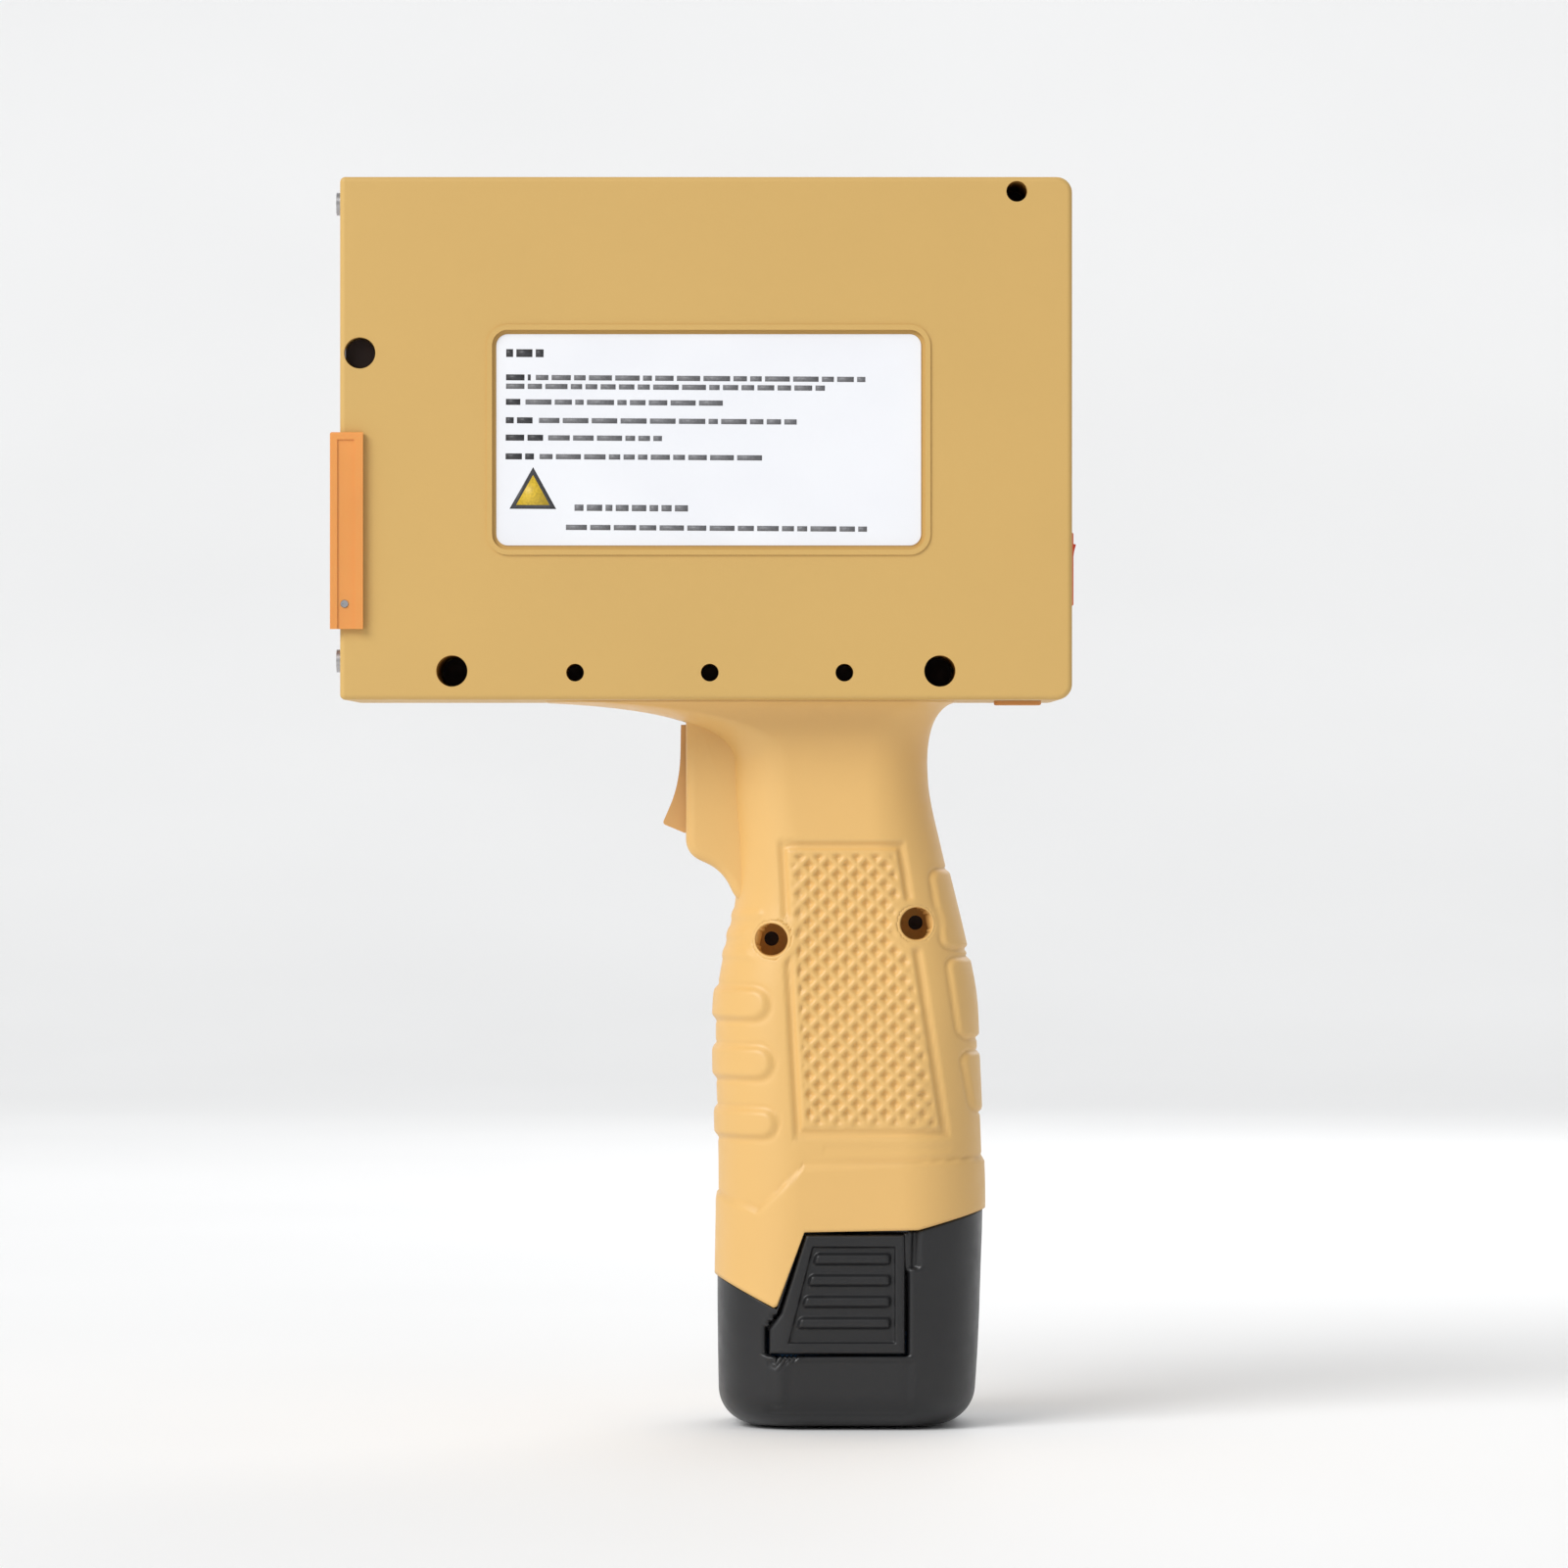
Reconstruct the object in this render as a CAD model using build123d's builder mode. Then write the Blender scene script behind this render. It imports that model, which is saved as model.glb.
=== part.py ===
"""Handheld date code inkjet printer.

A flat print head housing stands on a pistol grip, and a slide-on battery pack closes the grip's foot.
The origin is under the object's middle, on the surface that it stands on. +Z is up, the printing face
looks along -X, the label side along -Y and the touch screen along +Y. All sizes are in millimetres.
"""
import os

from build123d import *

os.makedirs("parts", exist_ok=True)

# Print head housing
house_length = 140.0
house_height = 100.0
house_thickness = 58.0
house_front_x = -69.6
house_base_z = 140.0
house_wall = 2.5
house_back_radius = 3.0
house_front_radius = 1.0
house_edge_round = 1.0
fit_gap = 0.3  # between pieces that lie beside each other
press_gap = 0.01  # round what is pressed in
run_gap = 0.05  # round what turns in its hole

# Screw wells in the label side, as X and Z, with the well's radius
well_radius = 3.0
small_well_radius = 2.0
boss_wall = 1.3
well_floor = 3.0
well_lower_lift = 5.5
front_well_inset = 3.8
front_well_z_drop = 33.7
top_well_inset = 10.6
flange_well_radius = 1.7
flange_well_pitch = 25.75
flange_well_lift = 5.2

# Label
label_width = 81.2
label_height = 40.4
label_thickness = 0.25
label_border = 0.8
label_mid_x = 0.9
label_mid_lift = 49.7
label_recess_depth = 0.7
label_rim = 0.35
label_corner = 3.0

# Screen side
glass_width = 105.6
glass_height = 67.6
glass_thickness = 1.1
glass_corner = 3.0
view_width = 96.0
view_height = 55.0
screen_back_margin = 5.0
screen_mid_lift = 50.0
lcd_thickness = 3.0
board_width = 104.0
board_height = 78.0
board_thickness = 1.6
board_standoff = 6.3
standoff_radius = 2.5

# Printing face
plate_thickness = 1.0
plate_margin = 2.6
plate_screw_inset_y = 6.6
plate_screw_top_drop = 4.8
plate_screw_lift = 7.5
pan_head_radius = 2.2
pan_head_height = 1.9

# Ink cartridge
cart_width = 25.0
cart_height = 73.0
cart_length = 66.0
cart_mid_y = -6.0
cart_lift = 15.5
cart_gap = 0.5
cart_wall = 1.6
cradle_wall = 1.6
snout_width = 17.0
snout_height = 27.0
snout_length = 8.0
snout_lift = 5.0
nozzle_height = 14.0

# Cartridge door, a bail that straddles the printing face
door_height = 37.6
door_lift = 13.5
door_web = 1.5
door_leg = 1.4
door_leg_depth = 6.3
door_front_gap = 0.3
door_side_gap = 0.2
door_pin_radius = 0.7
door_pin_back = 0.95
door_pin_lift = 4.8
window_width = 20.0
window_height = 26.0

# Encoder wheel
wheel_radius = 6.5
wheel_width = 9.0
wheel_mid_y = 18.5
wheel_lift = 32.0
wheel_proud = 2.0
axle_radius = 1.5

house_back_x = house_front_x + house_length
house_top_z = house_base_z + house_height
house_mid_x = house_front_x + house_length / 2
house_mid_z = house_base_z + house_height / 2
half = house_thickness / 2
inner_half = half - house_wall

lower_well_z = house_base_z + well_lower_lift
wells = [
    (house_front_x + 21.4, lower_well_z, well_radius),
    (house_back_x - 25.3, lower_well_z, well_radius),
    (house_front_x + front_well_inset, house_top_z - front_well_z_drop, well_radius),
    (house_back_x - top_well_inset, house_top_z - small_well_radius - 0.8, small_well_radius),
]


def across(y):
    """Plane at y that is drawn in X and Z. A positive extrusion goes towards the label side."""
    return Plane.XZ.offset(-y)


def facing_front(x):
    """Plane at x that is drawn in Y and Z. A positive extrusion goes towards the back."""
    return Plane.YZ.offset(x)


def box_between(x0, x1, y0, y1, z0, z1, mode=Mode.ADD):
    """Box from its lowest to its highest corner."""
    with Locations(((x0 + x1) / 2, (y0 + y1) / 2, (z0 + z1) / 2)):
        Box(x1 - x0, y1 - y0, z1 - z0, mode=mode)


def housing_profile(inset=0.0):
    """Housing outline in X and Z, drawn in by the inset."""
    with Locations((house_mid_x, house_mid_z)):
        Rectangle(house_length - 2 * inset, house_height - 2 * inset)
    fillet(vertices().sort_by(Axis.X)[-2:], house_back_radius - inset * 0.9)
    fillet(vertices().sort_by(Axis.X)[:2], max(house_front_radius - inset, 0.4))


def discs(sites, extra=0.0):
    """Circles at each X and Z, each with its own radius and the extra."""
    for x, z, radius in sites:
        with Locations((x, z)):
            Circle(radius + extra)


def y_screw(x, z, head_y, head_radius, head_height, shank_radius, length):
    """Pan head screw along Y: its head is on the label side of head_y and its shank goes to +Y."""
    with BuildSketch(across(head_y)) as profile:
        with Locations((x, z)):
            Circle(head_radius)
    extrude(profile.sketch, amount=head_height)
    with BuildSketch(across(head_y)) as profile:
        with Locations((x, z)):
            Circle(shank_radius)
    extrude(profile.sketch, amount=-length)


# Label side shell of the housing
flange_wells = [
    (house_mid_x + 0.7 + step * flange_well_pitch, house_base_z + flange_well_lift, flange_well_radius)
    for step in (-1, 0, 1)
]
front_well = wells[2]
deep_wells = [wells[0], wells[1], wells[3]]
front_web = 2.0  # under the head of the front well's screw
lug_gap = 1.4  # between the front boss and the cradle's wall
front_boss_end = cart_width / 2 - cart_mid_y + cart_gap + cradle_wall + lug_gap
front_well_floor = front_boss_end + front_web

tongue_x0 = flange_wells[0][0] - 4.2
tongue_x1 = flange_wells[2][0] + 4.2
tongue_half = 12.0
tongue_top_z = house_base_z + 10.0
flange_web = 3.0

door_z0 = house_base_z + door_lift
door_z1 = door_z0 + door_height
door_pin_x = house_front_x + door_pin_back
door_pin_z = door_z0 + door_pin_lift
door_outer_y = half + door_side_gap + door_leg
door_pin_depth = 2.0

cart_z0 = house_base_z + cart_lift
cart_z1 = cart_z0 + cart_height
cart_y0 = cart_mid_y - cart_width / 2
cart_y1 = cart_mid_y + cart_width / 2
snout_front_x = house_front_x + 0.6
cart_front_x = snout_front_x + snout_length
cart_back_x = cart_front_x + cart_length
snout_z0 = cart_z0 + snout_lift
snout_mid_z = snout_z0 + snout_height / 2

wheel_x = house_front_x - wheel_proud + wheel_radius
wheel_mid_z = house_base_z + wheel_lift
wheel_slot_half_y = 6.3
wheel_slot_half_z = wheel_width / 2 + 0.8

plate_half_y = half - plate_margin
plate_z0 = house_base_z + plate_margin
plate_z1 = house_top_z - plate_margin
plate_screw_y = half - plate_screw_inset_y
plate_screw_z = (house_base_z + plate_screw_lift, house_top_z - plate_screw_top_drop)

plug_x = house_back_x - 9.9
plug_y = -10.0
plug_hole_radius = 3.3
plug_radius = 2.6

switch_y = -12.0
switch_z = house_base_z + 25.3
switch_height = 14.1
switch_width = 9.6
switch_body_height = 12.9
switch_body_width = 8.4

charge_led_y = 8.0
charge_led_z = switch_z
charge_led_radius = 1.5

recess_width = label_width + 2 * label_border
recess_height = label_height + 2 * label_border
label_mid_z = house_base_z + label_mid_lift

power_board_x = (house_back_x - 52.0, house_back_x - 9.0)
power_board_z = (house_base_z + 34.0, house_top_z - 14.0)
power_board_y = -inner_half + 6.5
power_post_inset = 3.2


def front_openings(extra=0.0):
    """Openings for the cartridge and the encoder wheel, in Y and Z on the printing face."""
    with Locations((cart_mid_y, (cart_z0 + cart_z1) / 2)):
        Rectangle(cart_width + 2 * (cart_gap + extra), cart_height + 2 * (cart_gap + extra))
    with Locations((wheel_mid_y, wheel_mid_z)):
        Rectangle(2 * (wheel_slot_half_y + extra), 2 * (wheel_slot_half_z + extra))


def cut_front_face():
    """Seat of the front plate, the openings behind it, its screws' pilots and the door pin's hole."""
    with BuildSketch(facing_front(house_front_x)) as profile:
        with Locations((0, house_mid_z)):
            Rectangle(2 * plate_half_y, plate_z1 - plate_z0)
    extrude(profile.sketch, amount=plate_thickness, mode=Mode.SUBTRACT)
    with BuildSketch(facing_front(house_front_x)) as profile:
        front_openings(0.6)
    extrude(profile.sketch, amount=house_wall + 0.1, mode=Mode.SUBTRACT)
    with BuildSketch(facing_front(house_front_x)) as profile:
        for z in plate_screw_z:
            for y in (-plate_screw_y, plate_screw_y):
                with Locations((y, z)):
                    Circle(1.0 + press_gap)
    extrude(profile.sketch, amount=plate_thickness + 7.2, mode=Mode.SUBTRACT)


def front_screw_bosses():
    """Posts behind the front wall that the plate's screws bite into."""
    with BuildSketch(facing_front(house_front_x + house_wall - 0.5)) as profile:
        for z in plate_screw_z:
            for y in (-plate_screw_y, plate_screw_y):
                with Locations((y, z)):
                    Circle(2.6)
    extrude(profile.sketch, amount=6.5)


with BuildPart() as label_side_shell:
    with BuildSketch(across(0)):
        housing_profile()
    extrude(amount=half)
    fillet(faces().sort_by(Axis.Y)[0].outer_wire().edges(), house_edge_round)
    with BuildSketch(across(0)):
        housing_profile(house_wall)
    extrude(amount=inner_half, mode=Mode.SUBTRACT)
    # bosses of the deep wells reach the joint face, the front one stops at the cradle
    with BuildSketch(across(0)):
        discs(deep_wells, boss_wall)
        with Locations((house_mid_x, house_mid_z)):
            Rectangle(house_length - house_wall, house_height - house_wall, mode=Mode.INTERSECT)
    extrude(amount=half - house_wall / 2)
    with BuildSketch(across(-front_boss_end)):
        discs([front_well], boss_wall)
        with Locations((house_mid_x, house_mid_z)):
            Rectangle(house_length - house_wall, house_height, mode=Mode.INTERSECT)
    extrude(amount=half - front_boss_end - house_wall / 2)
    with BuildSketch(across(-tongue_half - fit_gap)):
        discs(flange_wells, boss_wall)
    extrude(amount=half - tongue_half - house_wall / 2)
    # posts of the power board
    with BuildSketch(across(power_board_y)):
        for x in (power_board_x[0] + power_post_inset, power_board_x[1] - power_post_inset):
            for z in (power_board_z[0] + power_post_inset, power_board_z[1] - power_post_inset):
                with Locations((x, z)):
                    Circle(standoff_radius)
                    Circle(0.8 + press_gap, mode=Mode.SUBTRACT)
    extrude(amount=inner_half + power_board_y)
    front_screw_bosses()
    box_between(house_mid_x - house_length, house_mid_x + house_length, 0, half,
                house_base_z, house_top_z, mode=Mode.SUBTRACT)
    cut_front_face()
    # wells and the screws' clearance holes
    with BuildSketch(across(-half)):
        discs(deep_wells)
    extrude(amount=-(half - well_floor), mode=Mode.SUBTRACT)
    with BuildSketch(across(-half)):
        discs([front_well])
    extrude(amount=-(half - front_well_floor), mode=Mode.SUBTRACT)
    with BuildSketch(across(-half)):
        discs(flange_wells)
    extrude(amount=-(half - tongue_half - fit_gap - flange_web), mode=Mode.SUBTRACT)
    with BuildSketch(across(-half)):
        for x, z, radius in wells:
            with Locations((x, z)):
                Circle(radius * 0.55)
        for x, z, radius in flange_wells:
            with Locations((x, z)):
                Circle(radius * 0.65)
    extrude(amount=-half, mode=Mode.SUBTRACT)
    # label recess with its raised rim
    with BuildSketch(across(-half)):
        with Locations((label_mid_x, label_mid_z)):
            RectangleRounded(recess_width + 2, recess_height + 2, label_corner + 1)
    extrude(amount=label_rim)
    with BuildSketch(across(-half - label_rim)):
        with Locations((label_mid_x, label_mid_z)):
            RectangleRounded(recess_width, recess_height, label_corner)
    extrude(amount=-(label_rim + label_recess_depth), mode=Mode.SUBTRACT)
    # opening for the grip's tongue, socket, switch and door pin
    box_between(tongue_x0 - fit_gap, tongue_x1 + fit_gap, -tongue_half - fit_gap, 0,
                house_base_z, house_base_z + house_wall, mode=Mode.SUBTRACT)
    with BuildSketch(Plane.XY.offset(house_base_z)):
        with Locations((plug_x, plug_y)):
            Circle(plug_hole_radius)
    extrude(amount=house_wall, mode=Mode.SUBTRACT)
    box_between(house_back_x - house_wall, house_back_x, switch_y - switch_body_width / 2 - 0.1,
                switch_y + switch_body_width / 2 + 0.1, switch_z - switch_body_height / 2 - 0.1,
                switch_z + switch_body_height / 2 + 0.1, mode=Mode.SUBTRACT)
    with BuildSketch(across(-half)):
        with Locations((door_pin_x, door_pin_z)):
            Circle(door_pin_radius + press_gap)
    extrude(amount=-door_pin_depth, mode=Mode.SUBTRACT)

label_side_shell.part.label = "label_side_shell"
export_step(label_side_shell.part, "parts/label_side_shell.step")

with BuildPart() as rating_label:
    with BuildSketch(across(-half + label_recess_depth)):
        with Locations((label_mid_x, label_mid_z)):
            RectangleRounded(label_width, label_height, label_corner - label_border)
    extrude(amount=label_thickness)

rating_label.part.label = "rating_label"
export_step(rating_label.part, "parts/rating_label.step")

# Screen side shell of the housing
screen_mid_x = house_back_x - screen_back_margin - glass_width / 2
screen_mid_z = house_base_z + screen_mid_lift
glass_seat = glass_thickness + 0.1
lcd_y1 = inner_half - 0.1
lcd_y0 = lcd_y1 - lcd_thickness
board_y1 = lcd_y0 - board_standoff
board_y0 = board_y1 - board_thickness
board_hole_x = (screen_mid_x - board_width / 2 + 3.0, screen_mid_x + board_width / 2 - 3.0)
board_hole_z = (screen_mid_z - board_height / 2 + 2.7, screen_mid_z + board_height / 2 - 2.7)
pilot_radius = 1.25

with BuildPart() as screen_side_shell:
    with BuildSketch(across(half)):
        housing_profile()
    extrude(amount=half)
    fillet(faces().sort_by(Axis.Y)[-1].outer_wire().edges(), house_edge_round)
    with BuildSketch(across(inner_half)):
        housing_profile(house_wall)
    extrude(amount=inner_half, mode=Mode.SUBTRACT)
    with BuildSketch(across(half - house_wall / 2)):
        discs(deep_wells, boss_wall - 0.3)
        with Locations((house_mid_x, house_mid_z)):
            Rectangle(house_length - house_wall, house_height - house_wall, mode=Mode.INTERSECT)
    extrude(amount=half - house_wall / 2)
    with BuildSketch(across(0)):
        for x, z, radius in deep_wells:
            with Locations((x, z)):
                Circle(radius * pilot_radius / well_radius + press_gap)
    extrude(amount=-16.0, mode=Mode.SUBTRACT)
    # standoffs of the main board
    with BuildSketch(across(half - house_wall / 2)):
        for x in board_hole_x:
            for z in board_hole_z:
                with Locations((x, z)):
                    Circle(standoff_radius)
    extrude(amount=half - house_wall / 2 - board_y1)
    with BuildSketch(across(board_y1)):
        for x in board_hole_x:
            for z in board_hole_z:
                with Locations((x, z)):
                    Circle(1.0 + press_gap)
    extrude(amount=-5.5, mode=Mode.SUBTRACT)
    front_screw_bosses()
    box_between(house_mid_x - house_length, house_mid_x + house_length, -half, 0,
                house_base_z, house_top_z, mode=Mode.SUBTRACT)
    cut_front_face()
    # seat of the glass and the window to the display
    with BuildSketch(across(half)):
        with Locations((screen_mid_x, screen_mid_z)):
            RectangleRounded(glass_width + 0.4, glass_height + 0.4, glass_corner + 0.2)
    extrude(amount=glass_seat, mode=Mode.SUBTRACT)
    with BuildSketch(across(half)):
        with Locations((screen_mid_x, screen_mid_z)):
            Rectangle(view_width, view_height)
    extrude(amount=house_wall + 0.1, mode=Mode.SUBTRACT)
    box_between(tongue_x0 - fit_gap, tongue_x1 + fit_gap, 0, tongue_half + fit_gap,
                house_base_z, house_base_z + house_wall, mode=Mode.SUBTRACT)
    with BuildSketch(across(half)):
        with Locations((door_pin_x, door_pin_z)):
            Circle(door_pin_radius + press_gap)
    extrude(amount=door_pin_depth, mode=Mode.SUBTRACT)
    with BuildSketch(facing_front(house_back_x)):
        with Locations((charge_led_y, charge_led_z)):
            Circle(charge_led_radius + fit_gap / 2)
    extrude(amount=-house_wall, mode=Mode.SUBTRACT)

screen_side_shell.part.label = "screen_side_shell"
export_step(screen_side_shell.part, "parts/screen_side_shell.step")

with BuildPart() as touch_glass:
    with BuildSketch(across(half - 0.1)):
        with Locations((screen_mid_x, screen_mid_z)):
            RectangleRounded(glass_width, glass_height, glass_corner)
    extrude(amount=glass_thickness)

touch_glass.part.label = "touch_glass"
export_step(touch_glass.part, "parts/touch_glass.step")

with BuildPart() as lcd_module:
    with BuildSketch(across(lcd_y1)):
        with Locations((screen_mid_x, screen_mid_z)):
            Rectangle(glass_width - 1.0, glass_height - 1.0)
    extrude(amount=lcd_thickness)

lcd_module.part.label = "lcd_module"
export_step(lcd_module.part, "parts/lcd_module.step")

with BuildPart() as main_board:
    with BuildSketch(across(board_y1)):
        with Locations((screen_mid_x, screen_mid_z)):
            Rectangle(board_width, board_height)
        for x in board_hole_x:
            for z in board_hole_z:
                with Locations((x, z)):
                    Circle(1.15, mode=Mode.SUBTRACT)
    extrude(amount=board_thickness)

main_board.part.label = "main_board"
export_step(main_board.part, "parts/main_board.step")

# chips, display socket, memory and coin cell, each soldered to the board's inner side
board_chips_layout = [
    ((0.0, 4.0), (16.0, 16.0, 1.4)),
    ((-26.0, 8.0), (12.0, 8.0, 1.2)),
    ((-26.0, -6.0), (12.0, 8.0, 1.2)),
    ((25.0, 12.0), (9.0, 9.0, 1.0)),
    ((30.0, -12.0), (20.0, 6.0, 4.5)),
    ((-5.0, -24.0), (28.0, 5.0, 3.0)),
]
coin_cell_radius = 8.0

with BuildPart() as board_chips:
    for (x, z), (width, height, depth) in board_chips_layout:
        with BuildSketch(across(board_y0)):
            with Locations((screen_mid_x + x, screen_mid_z + z)):
                Rectangle(width, height)
        extrude(amount=depth)
    with BuildSketch(across(board_y0)):
        with Locations((screen_mid_x - 30.0, screen_mid_z + 25.0)):
            Circle(coin_cell_radius)
    extrude(amount=3.2)

board_chips.part.label = "board_chips"
export_step(board_chips.part, "parts/board_chips.step")

with BuildPart() as board_screws:
    for x in board_hole_x:
        for z in board_hole_z:
            y_screw(x, z, board_y0, 1.9, 1.4, 1.0, board_thickness + 5.0)

board_screws.part.label = "board_screws"
export_step(board_screws.part, "parts/board_screws.step")

# Power board on the label side, with the print head's booster
with BuildPart() as power_board:
    with BuildSketch(across(power_board_y + 1.6)):
        with Locations((sum(power_board_x) / 2, sum(power_board_z) / 2)):
            Rectangle(power_board_x[1] - power_board_x[0], power_board_z[1] - power_board_z[0])
        for x in (power_board_x[0] + power_post_inset, power_board_x[1] - power_post_inset):
            for z in (power_board_z[0] + power_post_inset, power_board_z[1] - power_post_inset):
                with Locations((x, z)):
                    Circle(1.0, mode=Mode.SUBTRACT)
    extrude(amount=1.6)

power_board.part.label = "power_board"
export_step(power_board.part, "parts/power_board.step")

power_mid_x = sum(power_board_x) / 2
power_mid_z = sum(power_board_z) / 2

with BuildPart() as booster_coil:
    with BuildSketch(across(power_board_y + 1.6)):
        with Locations((power_mid_x + 4.0, power_mid_z - 2.0)):
            RectangleRounded(16.0, 16.0, 2.5)
    extrude(amount=-9.0)
    chamfer(faces().sort_by(Axis.Y)[-1].edges(), 0.8)

booster_coil.part.label = "booster_coil"
export_step(booster_coil.part, "parts/booster_coil.step")

with BuildPart() as capacitors:
    for dx, dz, radius, tall in ((-13.0, 12.0, 4.0, 11.0), (-13.0, 1.0, 4.0, 11.0), (12.0, 14.0, 5.0, 12.0)):
        with BuildSketch(across(power_board_y + 1.6)):
            with Locations((power_mid_x + dx, power_mid_z + dz)):
                Circle(radius)
        extrude(amount=-tall)

capacitors.part.label = "capacitors"
export_step(capacitors.part, "parts/capacitors.step")

with BuildPart() as power_screws:
    for x in (power_board_x[0] + power_post_inset, power_board_x[1] - power_post_inset):
        for z in (power_board_z[0] + power_post_inset, power_board_z[1] - power_post_inset):
            with BuildSketch(across(power_board_y + 1.6)):
                with Locations((x, z)):
                    Circle(1.6)
            extrude(amount=-1.2)
            with BuildSketch(across(power_board_y + 1.6)):
                with Locations((x, z)):
                    Circle(0.8)
            extrude(amount=5.5)

power_screws.part.label = "power_screws"
export_step(power_screws.part, "parts/power_screws.step")

# Screws that hold the housing, seen at the bottom of their wells
with BuildPart() as case_screws:
    for x, z, radius in deep_wells:
        scale_to_well = radius / well_radius
        y_screw(x, z, -well_floor, 2.7 * scale_to_well, 2.0 * scale_to_well,
                pilot_radius * scale_to_well, well_floor + 14.0)

case_screws.part.label = "case_screws"
export_step(case_screws.part, "parts/case_screws.step")

with BuildPart() as flange_screws:
    for x, z, radius in flange_wells:
        y_screw(x, z, -tongue_half - fit_gap - flange_web, radius - 0.15, 1.3, 0.9, flange_web + 7.0)

flange_screws.part.label = "flange_screws"
export_step(flange_screws.part, "parts/flange_screws.step")

# Ink cartridge: a thin walled box with a snout that carries the nozzle plate
contact_x0 = cart_front_x + 3.0
contact_size = 13.0

with BuildPart() as ink_cartridge:
    box_between(cart_front_x, cart_back_x, cart_y0, cart_y1, cart_z0, cart_z1)
    fillet(edges().filter_by(Axis.X), 1.5)
    box_between(snout_front_x, cart_front_x + 1, cart_mid_y - snout_width / 2,
                cart_mid_y + snout_width / 2, snout_z0, snout_z0 + snout_height)
    box_between(cart_front_x + cart_wall, cart_back_x - cart_wall, cart_y0 + cart_wall,
                cart_y1 - cart_wall, cart_z0 + cart_wall, cart_z1 - cart_wall, mode=Mode.SUBTRACT)

ink_cartridge.part.label = "ink_cartridge"
export_step(ink_cartridge.part, "parts/ink_cartridge.step")

with BuildPart() as nozzle_plate:
    box_between(snout_front_x - 0.3, snout_front_x, cart_mid_y - 3.0, cart_mid_y + 3.0,
                snout_mid_z - nozzle_height / 2, snout_mid_z + nozzle_height / 2)

nozzle_plate.part.label = "nozzle_plate"
export_step(nozzle_plate.part, "parts/nozzle_plate.step")

with BuildPart() as cartridge_contacts:
    box_between(contact_x0, contact_x0 + contact_size, cart_mid_y - contact_size / 2,
                cart_mid_y + contact_size / 2, cart_z0 - 0.2, cart_z0)

cartridge_contacts.part.label = "cartridge_contacts"
export_step(cartridge_contacts.part, "parts/cartridge_contacts.step")

cradle_floor_z = cart_z0 - cart_gap
cradle_y0 = cart_y0 - cart_gap - cradle_wall
cradle_y1 = cart_y1 + cart_gap + cradle_wall
cradle_x0 = house_front_x + house_wall + 0.2
cradle_x1 = cart_back_x + cart_gap + cradle_wall
cradle_top_z = house_top_z - 12.0

with BuildPart() as cartridge_cradle:
    box_between(cradle_x0, cradle_x1, cradle_y0, cradle_y1, cradle_floor_z - 2.4, cradle_top_z)
    box_between(cradle_x0, cradle_x1 - cradle_wall, cradle_y0 + cradle_wall, cradle_y1 - cradle_wall,
                cradle_floor_z, cradle_top_z, mode=Mode.SUBTRACT)
    # opening over the contact block, and a window in each side to keep the walls light
    box_between(contact_x0 - 0.6, contact_x0 + contact_size + 0.6, cart_mid_y - contact_size / 2 - 0.6,
                cart_mid_y + contact_size / 2 + 0.6, cradle_floor_z - 2.4, cradle_floor_z,
                mode=Mode.SUBTRACT)
    box_between(cart_front_x + 14.0, cart_back_x - 14.0, cradle_y0, cradle_y1, cart_z0 + 12.0,
                cradle_top_z - 12.0, mode=Mode.SUBTRACT)
    # lug that the front well's screw pulls against
    with BuildSketch(across(cradle_y0 + 0.2)):
        with Locations((front_well[0] + 1.6, front_well[1])):
            RectangleRounded(8.0, 9.0, 1.5)
        with Locations((house_front_x + house_wall + 0.2 + 10.0, front_well[1])):
            Rectangle(20.0, 30.0, mode=Mode.INTERSECT)
    extrude(amount=front_boss_end - fit_gap + cradle_y0 + 0.2)
    with BuildSketch(across(-front_well_floor)):
        with Locations((front_well[0], front_well[1])):
            Circle(pilot_radius + press_gap)
    extrude(amount=-(front_well_floor + cradle_y0 + cradle_wall), mode=Mode.SUBTRACT)

cartridge_cradle.part.label = "cartridge_cradle"
export_step(cartridge_cradle.part, "parts/cartridge_cradle.step")

with BuildPart() as cradle_screw:
    y_screw(front_well[0], front_well[1], -front_well_floor, 2.7, 2.0, pilot_radius,
            front_well_floor + cradle_y0 + cradle_wall - 0.3)

cradle_screw.part.label = "cradle_screw"
export_step(cradle_screw.part, "parts/cradle_screw.step")

with BuildPart() as contact_block:
    box_between(contact_x0, contact_x0 + contact_size, cart_mid_y - contact_size / 2,
                cart_mid_y + contact_size / 2, cradle_floor_z - 4.5, cradle_floor_z - 0.8)
    box_between(contact_x0 - 3.0, contact_x0 + contact_size + 3.0, cart_mid_y - contact_size / 2 - 3.0,
                cart_mid_y + contact_size / 2 + 3.0, cradle_floor_z - 4.5, cradle_floor_z - 2.5)

contact_block.part.label = "contact_block"
export_step(contact_block.part, "parts/contact_block.step")

with BuildPart() as contact_pins:
    with BuildSketch(Plane.XY.offset(cradle_floor_z - 0.8)):
        with Locations((contact_x0 + contact_size / 2, cart_mid_y)):
            with GridLocations(2.2, 2.2, 5, 5):
                Circle(0.4)
    extrude(amount=cart_z0 - 0.2 - cradle_floor_z + 0.8)

contact_pins.part.label = "contact_pins"
export_step(contact_pins.part, "parts/contact_pins.step")

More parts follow.
